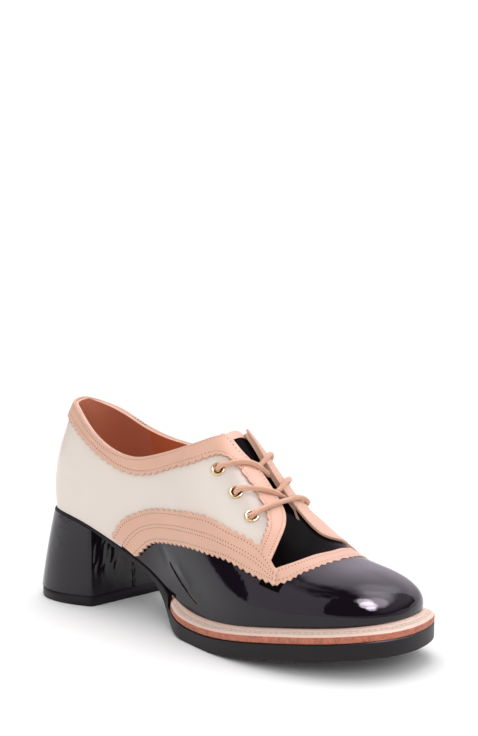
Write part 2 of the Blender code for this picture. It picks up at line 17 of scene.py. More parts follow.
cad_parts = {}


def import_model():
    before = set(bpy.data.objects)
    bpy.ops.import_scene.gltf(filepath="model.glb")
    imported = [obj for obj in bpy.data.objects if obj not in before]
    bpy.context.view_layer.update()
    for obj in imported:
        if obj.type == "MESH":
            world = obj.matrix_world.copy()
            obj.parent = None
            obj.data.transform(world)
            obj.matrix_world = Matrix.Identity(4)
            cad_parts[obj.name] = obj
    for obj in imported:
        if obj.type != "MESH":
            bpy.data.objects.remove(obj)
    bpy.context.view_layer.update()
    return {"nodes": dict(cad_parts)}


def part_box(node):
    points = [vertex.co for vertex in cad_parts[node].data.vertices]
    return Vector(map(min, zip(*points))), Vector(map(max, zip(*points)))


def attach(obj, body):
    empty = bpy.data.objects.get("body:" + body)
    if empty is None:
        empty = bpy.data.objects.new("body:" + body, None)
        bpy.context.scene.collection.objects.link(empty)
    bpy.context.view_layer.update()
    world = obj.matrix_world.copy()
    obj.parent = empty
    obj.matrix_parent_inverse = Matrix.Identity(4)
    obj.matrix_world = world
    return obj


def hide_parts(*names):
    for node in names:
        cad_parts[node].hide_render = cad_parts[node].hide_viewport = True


LOG = logging.getLogger("shoe")
Points = tuple[tuple[float, float], ...]
Colour = tuple[float, float, float]
Curve = tuple[np.ndarray, np.ndarray]

# The photograph's frame and the camera fitted to it.
IMAGE_WIDTH = 478
IMAGE_HEIGHT = 736
TARGET_PIXEL = (231.0, 539.5)
TARGET_ALONG = 0.136
TARGET_HEIGHT = 0.050
CAMERA_DISTANCE = 0.700
CAMERA_AZIMUTH = 45.0
CAMERA_ELEVATION = 12.4
PIXELS_PER_METRE = 1760.0
SENSOR = 36.0

# Fineness of drawn lines, and how many stations one unit of climb is long.
LINE_POINTS = 800
CLIMB_SCALE = 4


class Side(Enum):
    """Side of the foot, with the sign of its across coordinate."""

    OUTER = -1
    INNER = 1


@dataclass
class Last:
    """The last: a smooth form through a table of sections, heel to toe."""

    length: float = 0.2565
    ball_width: float = 0.084
    seat_rise: float = 0.0407
    crown_height: float = 0.0935
    back_lean: float = 0.009
    back_puff: float = 0.003
    stack: float = 0.0152
    bulge: float = 0.07
    lean_reach: float = 3.4
    collar_climb: float = 0.68
    puff_power: float = 0.8
    step: float = 0.002
    end_guard: float = 0.03
    table_size: int = 481
    sections: tuple[tuple[float, ...], ...] = (
        (0.000, -0.012, -0.012, -0.012, 1.000, 1.000, 2.30),
        (0.0175, -0.244, 0.220, -0.012, 1.000, 1.000, 2.40),
        (0.072, -0.375, 0.345, -0.012, 0.988, 0.995, 2.30),
        (0.166, -0.393, 0.363, -0.006, 0.889, 0.984, 1.60),
        (0.267, -0.351, 0.321, 0.006, 0.656, 1.010, 1.05),
        (0.380, -0.327, 0.304, 0.036, 0.361, 1.053, 0.85),
        (0.497, -0.393, 0.351, 0.060, 0.066, 1.086, 0.90),
        (0.610, -0.470, 0.429, 0.071, 0.000, 0.815, 0.90),
        (0.719, -0.512, 0.488, 0.071, 0.066, 0.508, 0.82),
        (0.821, -0.482, 0.470, 0.060, 0.157, 0.324, 0.75),
        (0.906, -0.393, 0.440, 0.065, 0.221, 0.243, 0.70),
        (0.973, -0.232, 0.345, 0.071, 0.270, 0.141, 0.75),
        (1.000, 0.048, 0.048, 0.048, 0.285, 0.000, 0.70),
    )
    shift: np.ndarray = field(default_factory=lambda: np.zeros(3))

    def __post_init__(self) -> None:
        """Work out the curves through the columns of the section table."""
        table = np.array(self.sections)
        self.last_row = len(table) - 1
        self.along = self._curve(self.length * table[:, 0], True, True)
        self.ridge = self._curve(self.ball_width * table[:, 3], True, False)
        self.rise = self._curve(self.seat_rise * table[:, 4], True, True)
        self.crown = self._curve(self.crown_height * table[:, 5], True, False)
        self.fullness = self._curve(table[:, 6], True, True)
        ring = self.ball_width * np.concatenate([table[:, 1], table[-2:0:-1, 2]])
        count = len(ring)
        system = 4 * np.eye(count) + np.roll(np.eye(count), 1, 0) + np.roll(np.eye(count), -1, 0)
        slopes = np.linalg.solve(system, 3 * (np.roll(ring, -1) - np.roll(ring, 1)))
        turn = np.r_[0, np.arange(count - 1, self.last_row - 1, -1)]
        self.outer = (ring[:self.last_row + 1], slopes[:self.last_row + 1])
        self.inner = (ring[turn], -slopes[turn])
        self.stations = np.linspace(0, self.last_row, self.table_size)
        self.places = self.read(self.along, self.stations)

    @staticmethod
    def _curve(values: np.ndarray, flat_start: bool, flat_end: bool) -> Curve:
        """Smooth curve through values at 0, 1, 2 ...

        Args:
            values: The values to pass through.
            flat_start: Whether the curve starts level.
            flat_end: Whether the curve ends level.

        Returns:
            The values and their slopes.
        """
        count = len(values)
        system = np.zeros((count, count))
        right = np.zeros(count)
        for i in range(1, count - 1):
            system[i, i - 1:i + 2] = (1, 4, 1)
            right[i] = 3 * (values[i + 1] - values[i - 1])
        system[0, :2] = (1, 0) if flat_start else (2, 1)
        right[0] = 0 if flat_start else 3 * (values[1] - values[0])
        system[-1, -2:] = (0, 1) if flat_end else (1, 2)
        right[-1] = 0 if flat_end else 3 * (values[-1] - values[-2])
        return values, np.linalg.solve(system, right)

    def read(self, curve: Curve, station: np.ndarray) -> np.ndarray:
        """Values of a curve at stations."""
        values, slopes = curve
        station = np.clip(station, 0.0, self.last_row - 1e-6)
        i = np.floor(station).astype(int)
        t = station - i
        start = (2 * t ** 3 - 3 * t ** 2 + 1) * values[i] + (t ** 3 - 2 * t ** 2 + t) * slopes[i]
        return start + (3 * t ** 2 - 2 * t ** 3) * values[i + 1] + (t ** 3 - t ** 2) * slopes[i + 1]

    def point(self, station: np.ndarray, across: np.ndarray) -> np.ndarray:
        """Points of the last.

        Args:
            station: Rows of the section table; under 0 runs on round the back to the other side.
            across: -1 at the outer feather line, 0 on the ridge, 1 at the inner feather line.

        Returns:
            Points in the frame's coordinates.
        """
        station, across = np.broadcast_arrays(np.asarray(station, float), np.asarray(across, float))
        flip = (station < 0) | (station > self.last_row)
        across = np.where(flip, -across, across)
        station = np.where(station < 0, -station, station)
        station = np.where(station > self.last_row, 2 * self.last_row - station, station)
        angle = (1 - np.abs(across)) * math.pi / 2
        edge = np.where(across < 0, self.read(self.outer, station), self.read(self.inner, station))
        ridge = self.read(self.ridge, station)
        spread = np.cos(angle).clip(0) ** self.read(self.fullness, station)
        spread = spread * (1 + self.bulge * np.sin(2 * angle))
        rise = np.sin(angle)
        back = smooth(1 - station / self.lean_reach)
        puff = np.sin(math.pi * np.minimum(rise / self.collar_climb, 1.0) ** self.puff_power)
        lean = self.back_lean * (rise / self.collar_climb) ** 2 - self.back_puff * puff
        x = self.read(self.along, station) + back * lean
        y = ridge + (edge - ridge) * spread
        z = self.stack + self.read(self.rise, station) + rise * self.read(self.crown, station)
        return np.stack([x, y, z], -1) + self.shift

    def normal(self, station: np.ndarray, across: np.ndarray) -> np.ndarray:
        """Outward unit normals of the last."""
        station = np.clip(station, self.end_guard - self.last_row, self.last_row - self.end_guard)
        across = np.clip(across, self.step - 1, 1 - self.step)
        forward = self.point(station + self.step, across) - self.point(station - self.step, across)
        over = self.point(station, across + self.step) - self.point(station, across - self.step)
        normal = np.cross(forward, over)
        return normal / np.linalg.norm(normal, axis=-1, keepdims=True)

    def over(self, station: np.ndarray, across: np.ndarray,
             height: np.ndarray | float) -> np.ndarray:
        """Points at a height over the last."""
        height = np.asarray(height, float)[..., None]
        return self.point(station, across) + height * self.normal(station, across)

    def rim(self, station: np.ndarray, side: Side, margin: np.ndarray | float) -> np.ndarray:
        """Feather line moved outwards in plan.

        Args:
            station: Rows of the section table.
            side: Which feather line.
            margin: How far out.

        Returns:
            Points at the feather line's height.
        """
        edge = side.value * np.ones_like(station)
        ahead = self.point(station + self.step, edge) - self.point(station - self.step, edge)
        outward = np.stack([ahead[:, 1], -ahead[:, 0]], -1) * -side.value
        outward /= np.linalg.norm(outward, axis=-1, keepdims=True)
        plan = self.point(station, edge)
        plan[:, :2] += np.asarray(margin)[..., None] * outward
        plan[:, 2] = self.seat(plan[:, 0])
        return plan

    def seat(self, x: np.ndarray) -> np.ndarray:
        """Height of the feather line at x."""
        heights = self.stack + self.read(self.rise, self.stations)
        return np.interp(x, self.places + self.shift[0], heights)

    def station_at(self, x: float) -> float:
        """Station whose section stands at x, counted from the back of the last."""
        return float(np.interp(x, self.places, self.stations))


def smooth(value: np.ndarray | float) -> np.ndarray:
    """Smooth step from 0 to 1."""
    value = np.clip(value, 0.0, 1.0)
    return value * value * (3 - 2 * value)


def distances(points: np.ndarray) -> np.ndarray:
    """Distance of each point from the first, along the line through them."""
    return np.r_[0, np.cumsum(np.linalg.norm(np.diff(points, axis=0), axis=1))]


@dataclass(frozen=True)
class Edge:
    """Smooth line drawn on the last through (station, climb) points."""

    points: Points

    def trace(self, count: int) -> np.ndarray:
        """Evenly spaced (station, climb) points of the line."""
        knots = np.array(self.points)
        spans = np.hypot(np.diff(knots[:, 0]), CLIMB_SCALE * np.diff(knots[:, 1]))
        at = np.r_[0, np.cumsum(spans)]
        size = len(knots)
        system = np.zeros((size, size))
        right = np.zeros((size, 2))
        system[0, 0] = system[-1, -1] = 1.0
        for i in range(1, size - 1):
            system[i, i - 1:i + 2] = (spans[i - 1], 2 * (spans[i - 1] + spans[i]), spans[i])
            ahead = (knots[i + 1] - knots[i]) / spans[i]
            right[i] = 6 * (ahead - (knots[i] - knots[i - 1]) / spans[i - 1])
        bend = np.linalg.solve(system, right)
        dense = np.linspace(0, at[-1], LINE_POINTS)
        i = np.clip(np.searchsorted(at, dense) - 1, 0, size - 2)
        h = spans[i][:, None]
        a = (at[i + 1] - dense)[:, None] / h
        b = (dense - at[i])[:, None] / h
        line = a * knots[i] + b * knots[i + 1]
        line += ((a ** 3 - a) * bend[i] + (b ** 3 - b) * bend[i + 1]) * h ** 2 / 6
        walk = distances(line * (1, CLIMB_SCALE))
        even = np.linspace(0, walk[-1], count)
        return np.stack([np.interp(even, walk, line[:, 0]), np.interp(even, walk, line[:, 1])], -1)

    def climb(self, station: np.ndarray) -> np.ndarray:
        """Climb of the line at stations, for a line that only runs forwards."""
        line = self.trace(600)
        return np.interp(station, line[:, 0], line[:, 1])


COLLAR_OUTER: Points = (
    (0.0, 0.495), (1.25, 0.480), (2.2, 0.458), (2.7, 0.430), (3.4, 0.391), (4.1, 0.387),
    (4.65, 0.426), (5.0, 0.471), (5.5, 0.545), (6.0, 0.665), (6.2, 0.765), (6.33, 0.860))
COLLAR_INNER: Points = (
    (0.0, 0.495), (1.25, 0.455), (2.2, 0.410), (2.7, 0.376), (3.4, 0.372), (4.1, 0.405),
    (4.65, 0.445), (5.0, 0.485), (5.5, 0.560), (6.0, 0.675), (6.2, 0.775), (6.33, 0.870))
COLLAR_HEM: Points = (
    (0.0, 0.425), (1.25, 0.405), (2.0, 0.383), (3.07, 0.331), (3.7, 0.310), (4.2, 0.312),
    (4.67, 0.342), (5.14, 0.398), (5.6, 0.466), (6.03, 0.546), (6.33, 0.655))
FACING_FRONT: Points = (
    (6.27, 0.820), (6.345, 0.865), (6.64, 0.893), (6.86, 0.929), (7.07, 0.952), (7.31, 0.957),
    (7.58, 0.951), (7.75, 0.936), (7.90, 0.900), (8.05, 0.837), (8.15, 0.773), (8.25, 0.697),
    (8.33, 0.620), (8.38, 0.565))
FACING_FRONT_INNER: Points = (
    (6.27, 0.850), (6.345, 0.893), (6.64, 0.922), (6.86, 0.945), (7.07, 0.956), (7.31, 0.959),
    (7.58, 0.961), (7.85, 0.962), (8.10, 0.960), (8.32, 0.945), (8.46, 0.890), (8.50, 0.800),
    (8.48, 0.710), (8.42, 0.630), (8.40, 0.565))
FACING_BACK: Points = (
    (6.27, 0.622), (6.345, 0.662), (6.52, 0.746), (6.68, 0.784), (6.95, 0.810), (7.12, 0.824),
    (7.34, 0.823), (7.50, 0.817), (7.65, 0.800), (7.78, 0.760), (7.86, 0.710), (7.92, 0.660),
    (7.97, 0.615), (8.01, 0.565))
SIDE_TOP: Points = (
    (3.92, 0.022), (4.07, 0.072), (4.29, 0.129), (4.57, 0.177), (4.93, 0.230), (5.40, 0.280),
    (5.93, 0.332), (6.49, 0.405), (6.82, 0.458), (7.15, 0.504), (7.45, 0.552), (7.83, 0.610),
    (8.05, 0.620), (8.30, 0.600), (8.49, 0.570), (8.58, 0.552))
SIDE_HEM: Points = (
    (4.66, 0.010), (4.88, 0.062), (5.14, 0.115), (5.40, 0.148), (6.03, 0.207), (6.47, 0.249),
    (6.88, 0.290), (7.25, 0.333), (7.60, 0.373), (7.94, 0.394), (8.27, 0.407),
    (8.69, 0.415), (8.78, 0.417))
VAMP_BAND_TOP: Points = ((8.52, 0.567), (8.67, 0.682), (8.76, 0.807), (8.80, 0.932), (8.82, 1.0))
VAMP_BAND_HEM: Points = (
    (8.72, 0.415), (8.96, 0.521), (9.06, 0.653), (9.13, 0.730), (9.17, 0.811), (9.20, 0.913),
    (9.21, 1.0))
EYELET_PLACES: Points = ((6.57, 0.669), (7.04, 0.698), (7.50, 0.706))


class Sock:
    """Shader socket that adds Math nodes when it is used in an expression."""

    def __init__(self, tree: bpy.types.NodeTree, socket: bpy.types.NodeSocket) -> None:
        """Wrap a socket of a node tree."""
        self.tree = tree
        self.socket = socket

    def _math(self, operation: str, *values: Sock | float) -> Sock:
        """Math node of an operation on this tree."""
        node = self.tree.nodes.new("ShaderNodeMath")
        node.operation = operation
        for entry, value in zip(node.inputs, values):
            if isinstance(value, Sock):
                self.tree.links.new(value.socket, entry)
            else:
                entry.default_value = value
        return Sock(self.tree, node.outputs[0])

    def __add__(self, other: Sock | float) -> Sock:
        """Sum."""
        return self._math("ADD", self, other)

    def __sub__(self, other: Sock | float) -> Sock:
        """Difference."""
        return self._math("SUBTRACT", self, other)

    def __rsub__(self, other: float) -> Sock:
        """Difference from a number."""
        return self._math("SUBTRACT", other, self)

    def __mul__(self, other: Sock | float) -> Sock:
        """Product."""
        return self._math("MULTIPLY", self, other)

    def wave(self, period: float) -> Sock:
        """0 to 1 to 0 over each period, as straight slopes."""
        return self._math("PINGPONG", self, period / 2) * (2 / period)

    def far(self) -> Sock:
        """Distance from 0."""
        return self._math("ABSOLUTE", self)

    def under(self, limit: float, blur: float) -> Sock:
        """1 below a limit, 0 above it, with a soft step."""
        node = self.tree.nodes.new("ShaderNodeMapRange")
        node.interpolation_type = "SMOOTHSTEP"
        self.tree.links.new(self.socket, node.inputs["Value"])
        for name, value in (("From Min", limit - blur), ("From Max", limit + blur), ("To Min", 1.0),
                            ("To Max", 0.0)):
            node.inputs[name].default_value = value
        return Sock(self.tree, node.outputs["Result"])


class Nodes:
    """Node tree that nodes are added to."""

    def __init__(self, tree: bpy.types.NodeTree) -> None:
        """Keep the tree."""
        self.tree = tree

    def node(self, kind: str, settings: dict | None = None, output: str | int = 0,
             **inputs) -> Sock:
        """Add a node.

        Args:
            kind: The node's type.
            settings: Properties to set first.
            output: Name or index of the output that is returned.
            **inputs: Values or links of its inputs, with _ for a space in a name, or i and
                its number.

        Returns:
            The node's output.
        """
        node = self.tree.nodes.new(kind)
        for key, value in (settings or {}).items():
            setattr(node, key, value)
        for key, value in inputs.items():
            numbered = key[0] == "i" and key[1:].isdigit()
            self.connect(node.inputs[int(key[1:]) if numbered else key.replace("_", " ")], value)
        return Sock(self.tree, node.outputs[output])

    def connect(self, entry: bpy.types.NodeSocket, value: Sock | float | tuple) -> None:
        """Link an input, or set its value."""
        if isinstance(value, Sock):
            self.tree.links.new(value.socket, entry)
        else:
            entry.default_value = value


class Shader(Nodes):
    """Material with one Principled shader and the nodes that feed it."""

    def __init__(self, name: str) -> None:
        """Start an empty material."""
        self.material = bpy.data.materials.new(name)
        self.material.use_nodes = True
        super().__init__(self.material.node_tree)
        self.principled = self.tree.nodes["Principled BSDF"]

    def place(self) -> Sock:
        """Object coordinates."""
        return self.node("ShaderNodeTexCoord", output="Object")

    def attribute(self, name: str) -> Sock:
        """Number stored on the piece's points."""
        return self.node("ShaderNodeAttribute", {"attribute_name": name}, "Fac")

    def noise(self, scale: float, detail: float = 3.0, roughness: float = 0.5) -> Sock:
        """Soft noise, 0 to 1, with a scale in features per metre."""
        return self.node("ShaderNodeTexNoise", output="Fac", Vector=self.place(), Scale=scale,
                         Detail=detail, Roughness=roughness)

    def pebble(self, scale: float) -> Sock:
        """Distance to the nearest grain of leather."""
        return self.node("ShaderNodeTexVoronoi", output="Distance", Vector=self.place(),
                         Scale=scale)

    def mix(self, factor: Sock | float, first: tuple | Sock, second: tuple | Sock) -> Sock:
        """Colour between two colours."""
        def colour(value: tuple | Sock) -> tuple | Sock:
            return value if isinstance(value, Sock) else (*value, 1.0)
        return self.node("ShaderNodeMix", {"data_type": "RGBA"}, 2, i0=factor, i6=colour(first),
                         i7=colour(second))

    def feed(self, name: str, value: Sock | float | tuple) -> None:
        """Set or link a socket of the Principled shader."""
        self.connect(self.principled.inputs[name],
                     (*value, 1.0) if isinstance(value, tuple) else value)

    def bump(self, height: Sock, distance: float, strength: float = 1.0) -> None:
        """Feed the shader's normal from a height in units of distance."""
        self.feed("Normal", self.node("ShaderNodeBump", Height=height, Distance=distance,
                                      Strength=strength))


def srgb(red: int, green: int, blue: int) -> Colour:
    """Linear colour from 8-bit display values."""
    def linear(value: int) -> float:
        share = value / 255
        return share / 12.92 if share <= 0.04045 else ((share + 0.055) / 1.055) ** 2.4
    return linear(red), linear(green), linear(blue)


def scaled(colour: Colour, factor: float) -> Colour:
    """Colour made darker or lighter, at most white."""
    return tuple(min(channel * factor, 1.0) for channel in colour)


@dataclass(frozen=True)
class Finish:
    """Anything that makes a material."""

    name: str
    colour: Colour

    def make(self) -> bpy.types.Material:
        """Material of this finish."""
        raise NotImplementedError


@dataclass(frozen=True)
class Fold:
    """Fine pressed line on the upper, from one (station, across) place to another."""

    start: tuple[float, float]
    end: tuple[float, float]
    width: float
    depth: float
    row_length: float = 0.0265
    girth: float = 0.105
    fade: float = 0.002

    def height(self, shader: Shader) -> Sock:
        """How deep the line is, 0 to its depth, from the upper's own numbers."""
        scale = np.array([self.row_length, self.girth])
        start = np.array(self.start) * scale
        line = np.array(self.end) * scale - start
        length = float(np.hypot(*line))
        line /= length
        u = shader.attribute("station") * self.row_length - float(start[0])
        v = shader.attribute("across") * self.girth - float(start[1])
        off = (u * float(-line[1]) + v * float(line[0])).far()
        along = u * float(line[0]) + v * float(line[1])
        before_end = along.under(length - self.fade, self.fade)
        window = before_end * (1 - along.under(self.fade, self.fade))
        return off.under(0.0, self.width) * window * self.depth


@dataclass(frozen=True)
class Patent(Finish):
    """Patent leather: dyed leather under a thick clear film."""

    shade: Colour
    roughness: float = 0.05
    ripple: float = 0.0005
    film: float = 1.43
    folds: tuple[Fold, ...] = ()
    ripple_gain: float = 350.0
    bump_unit: float = 0.001

    def make(self) -> bpy.types.Material:
        """Material of this finish."""
        shader = Shader(self.name)
        cloud = shader.noise(28.0, 3.0)
        shader.feed("Base Color", shader.mix(cloud, self.colour, self.shade))
        smear = shader.noise(90.0, 4.0)
        shader.feed("Roughness", smear * 0.05 + (self.roughness - 0.02))
        shader.feed("IOR", self.film)
        wave = shader.noise(45.0, 2.0) + shader.noise(110.0, 2.0) * 0.4
        wave = wave + shader.noise(320.0, 3.0) * 0.2
        height = wave * (self.ripple * self.ripple_gain)
        for fold in self.folds:
            height = height - fold.height(shader) * (1 / self.bump_unit)
        shader.bump(height, self.bump_unit)
        return shader.material


@dataclass(frozen=True)
class BandLeather(Finish):
    """Smooth nude leather with stitch rows along its edges, read from the piece's distances, and
    painted shade in the stitch holes.
    """

    shade: Colour
    rows: tuple[tuple[str, float], ...]
    pitch: float = 0.0020
    thread: float = 0.00028
    blur: float = 0.00012

    def make(self) -> bpy.types.Material:
        """Material of this finish."""
        shader = Shader(self.name)
        cloud = shader.noise(60.0, 4.0)
        grain = shader.pebble(2400.0)
        dash = shader.attribute("along").wave(self.pitch).under(0.58, 0.12)
        stitch = None
        for place, distance in self.rows:
            row = (shader.attribute(place) - distance).far().under(self.thread, self.blur)
            stitch = row if stitch is None else stitch + row
        hole = stitch * (1 - dash)
        thread = stitch * dash
        leather = shader.mix(cloud, self.colour, self.shade)
        # Stitch holes painted almost black: painted shade in the holes.
        leather = shader.mix(hole * 0.85, leather, scaled(self.shade, 0.16))
        leather = shader.mix(thread * 0.45, leather, scaled(self.colour, 1.12))
        height = grain * 0.25 + thread * 0.6 - hole * 1.6
        shader.feed("Base Color", leather)
        shader.feed("Roughness", grain * 0.12 + 0.40)
        shader.feed("Sheen Weight", 0.08)
        shader.bump(height, 0.00016, 0.7)
        return shader.material


@dataclass(frozen=True)
class PlainLeather(Finish):
    """Matt or satin leather with grain."""

    shade: Colour
    roughness: float = 0.5
    grain_scale: float = 1800.0
    depth: float = 0.00012

    def make(self) -> bpy.types.Material:
        """Material of this finish."""
        shader = Shader(self.name)
        cloud = shader.noise(35.0, 5.0, 0.6)
        grain = shader.pebble(self.grain_scale)
        shader.feed("Base Color", shader.mix(cloud, self.colour, self.shade))
        shader.feed("Roughness", cloud * 0.15 + (self.roughness - 0.07))
        shader.bump(grain * 0.6 + shader.noise(400.0, 3.0) * 0.6, self.depth, 0.6)
        return shader.material


@dataclass(frozen=True)
class Rubber(Finish):
    """Black sole rubber with a faint moulded texture."""

    roughness: float = 0.42

    def make(self) -> bpy.types.Material:
        """Material of this finish."""
        shader = Shader(self.name)
        cloud = shader.noise(50.0, 4.0)
        dust = shader.noise(900.0, 3.0)
        shader.feed("Base Color", shader.mix(cloud, self.colour, scaled(self.colour, 1.6)))
        shader.feed("Roughness", dust * 0.16 + (self.roughness - 0.08))
        shader.feed("Specular IOR Level", 0.25)
        shader.bump(dust, 0.00006, 0.6)
        return shader.material


@dataclass(frozen=True)
class WeltLeather(Finish):
    """Welt strip: pale stitched top, with painted shade in its stitch groove, and a tan burnished
    side.
    """

    side: Colour
    thread: Colour
    pitch: float = 0.0034
    row: float = 0.0030

    def make(self) -> bpy.types.Material:
        """Material of this finish."""
        shader = Shader(self.name)
        normal = shader.node("ShaderNodeNewGeometry", output="Normal")
        up = shader.node("ShaderNodeSeparateXYZ", output="Z", Vector=normal)
        on_top = 1 - up.under(0.62, 0.12)
        cloud = shader.noise(220.0, 5.0, 0.7)
        fleck = shader.noise(1100.0, 3.0, 0.6)
        top = shader.mix(cloud, self.colour, scaled(self.colour, 0.78))
        burnt = 1 - (cloud * 0.5 + fleck * 0.5).under(0.52, 0.10)
        side = shader.mix(burnt, self.side, scaled(self.side, 0.50))
        base = shader.mix(on_top, side, top)
        row = (shader.attribute("low") - self.row).far()
        groove = row.under(0.00080, 0.00030) * on_top
        dash = shader.attribute("along").wave(self.pitch).under(0.66, 0.16)
        stitch = row.under(0.00048, 0.00020) * dash * on_top
        # The stitch groove is painted darker: painted shade in the groove.
        base = shader.mix(groove * 0.42, base, scaled(self.colour, 0.5))
        shader.feed("Base Color", shader.mix(stitch * 0.7, base, self.thread))
        shader.feed("Roughness", cloud * 0.2 + 0.45)
        shader.bump(stitch * 0.9 - groove * 0.7 + cloud * 0.5 + fleck * 0.15, 0.0004, 0.8)
        return shader.material


@dataclass(frozen=True)
class Brass(Finish):
    """Polished gilt eyelet metal."""

    def make(self) -> bpy.types.Material:
        """Material of this finish."""
        shader = Shader(self.name)
        scratch = shader.noise(1500.0, 4.0)
        shader.feed("Base Color", shader.mix(scratch, self.colour, scaled(self.colour, 0.8)))
        shader.feed("Metallic", 1.0)
        shader.feed("Roughness", scratch * 0.15 + 0.22)
        return shader.material


@dataclass(frozen=True)
class Braid(Finish):
    """Round lace: crossing strands that run on the lace's own length and turn, with painted shade
    between them.
    """

    shade: Colour
    strand: float = 0.0011

    def make(self) -> bpy.types.Material:
        """Material of this finish."""
        shader = Shader(self.name)
        along = shader.attribute("along")
        turn = shader.attribute("turn")
        left = (along + turn * (4 * self.strand)).wave(self.strand)
        right = (along - turn * (4 * self.strand)).wave(self.strand)
        weave = left * right
        # Gaps between the strands take the darker colour: painted shade between the strands.
        shader.feed("Base Color", shader.mix(weave, self.shade, self.colour))
        shader.feed("Roughness", 0.72)
        shader.feed("Sheen Weight", 0.25)
        shader.bump(weave + shader.noise(2600.0, 2.0) * 0.3, 0.0003, 0.8)
        return shader.material


@dataclass(frozen=True)
class Paper(Finish):
    """Plain pale studio floor."""

    def make(self) -> bpy.types.Material:
        """Material of this finish."""
        shader = Shader(self.name)
        fibre = shader.noise(30.0, 2.0)
        shader.feed("Base Color", shader.mix(fibre, self.colour, scaled(self.colour, 0.995)))
        shader.feed("Roughness", 0.9)
        shader.feed("Specular IOR Level", 0.1)
        return shader.material


NUDE = srgb(216, 173, 151), srgb(203, 158, 135)
BLACK = srgb(21, 14, 23), srgb(16, 11, 18)
FINISHES: dict[str, Finish] = {
    "black": Patent("black_patent", *BLACK, film=1.41, folds=(
        Fold((5.66, -0.888), (6.78, -0.954), 0.0009, 0.0014),
        Fold((5.95, -0.860), (6.55, -0.905), 0.0030, -0.0004))),
    # Same black patent made darker and less glossy: painted shade for the throat and the tongue
    # under the facings.
    "throat_painted_shade": Patent("throat_painted_shade_patent", srgb(10, 7, 8), srgb(8, 6, 6), 0.10, film=1.06),
    "heel": Patent("heel_patent", *BLACK, 0.06, 0.0011, 1.42),
    "cream": Patent("cream_patent", srgb(220, 210, 202), srgb(215, 204, 195), 0.16, 0.0004, 1.25, (
        Fold((0.55, -0.62), (2.05, -0.70), 0.0016, 0.00022),
        Fold((1.20, -0.80), (2.90, -0.74), 0.0020, -0.00018))),
    "band": BandLeather("band_leather", *NUDE, (("low", 0.0034), ("high", 0.0022))),
    "side_band": BandLeather("side_band_leather", *NUDE, (
        ("low", 0.0034), ("high", 0.0034), ("middle", -0.0012), ("middle", 0.0012))),
    "plain_nude": PlainLeather("nude_edge", srgb(222, 182, 160), srgb(208, 164, 142), 0.45),
    "lining": PlainLeather("heel_lining", srgb(204, 130, 100), srgb(188, 114, 86)),
    "quarter_lining": PlainLeather("quarter_lining", srgb(208, 116, 76), srgb(192, 103, 66)),
    "rubber": Rubber("sole_rubber", srgb(19, 15, 18)),
    "welt": WeltLeather("welt_leather", srgb(232, 203, 188), srgb(184, 108, 82),
                        srgb(226, 204, 190)),
    "brass": Brass("gilt_brass", srgb(246, 220, 168)),
    "braid": Braid("lace_braid", srgb(238, 196, 170), srgb(212, 160, 132)),
}
Materials = dict[str, bpy.types.Material]


def deselect() -> None:
    """Leave object mode with nothing selected."""
    if bpy.context.object and bpy.context.object.mode != "OBJECT":
        bpy.ops.object.mode_set(mode="OBJECT")
    bpy.ops.object.select_all(action="DESELECT")


def activate(item: bpy.types.Object) -> None:
    """Select an object alone and make it active."""
    deselect()
    item.select_set(True)
    bpy.context.view_layer.objects.active = item


def cells(share: np.ndarray, count: int) -> np.ndarray:
    """Whole numbers 0 to count of grid points at shares 0 to 1."""
    return np.rint(share * count).astype(int)


def numbers(item: bpy.types.Object, name: str) -> np.ndarray:
    """Numbers that are stored on an object's points."""
    values = np.empty(len(item.data.vertices))
    item.data.attributes[name].data.foreach_get("value", values)
    return values


def sheet(name: str, columns: int, rows: int) -> tuple[bpy.types.Object, np.ndarray, np.ndarray]:
    """Flat grid whose points are then laid on the last.

    Args:
        name: The piece's name.
        columns: Cells along the piece.
        rows: Cells across the piece.

    Returns:
        The object, and each point's share along and across, 0 to 1.
    """
    deselect()
    bpy.ops.mesh.primitive_grid_add(x_subdivisions=columns, y_subdivisions=rows, size=2.0)
    item = bpy.context.object
    item.name = item.data.name = name
    flat = np.empty(3 * len(item.data.vertices))
    item.data.vertices.foreach_get("co", flat)
    flat = flat.reshape(-1, 3)
    return item, (flat[:, 0] + 1) / 2, (flat[:, 1] + 1) / 2


def lay(item: bpy.types.Object, points: np.ndarray, **numbers: np.ndarray) -> None:
    """Move an object's points, and store named numbers on them."""
    item.data.vertices.foreach_set("co", points.ravel())
    for name, values in numbers.items():
        store = item.data.attributes.new(name, "FLOAT", "POINT")
        store.data.foreach_set("value", np.ascontiguousarray(values, np.float32))
    item.data.update()


def modify(item: bpy.types.Object, kind: str, **settings) -> None:
    """Add a modifier and apply it."""
    activate(item)
    modifier = item.modifiers.new(kind.lower(), kind)
    for key, value in settings.items():
        setattr(modifier, key, value)
    bpy.ops.object.modifier_apply(modifier=modifier.name)


def mend(item: bpy.types.Object, fill: bool = False) -> None:
    """Merge doubled points.

    Args:
        item: The piece.
        fill: Whether its holes are closed too, and its faces pointed outwards.
    """
    activate(item)
    bpy.ops.object.mode_set(mode="EDIT")
    bpy.ops.mesh.select_all(action="SELECT")
    bpy.ops.mesh.remove_doubles(threshold=1e-6)
    if fill:
        bpy.ops.mesh.fill_holes(sides=0)
        bpy.ops.mesh.select_all(action="SELECT")
        bpy.ops.mesh.normals_make_consistent(inside=False)
    bpy.ops.object.mode_set(mode="OBJECT")


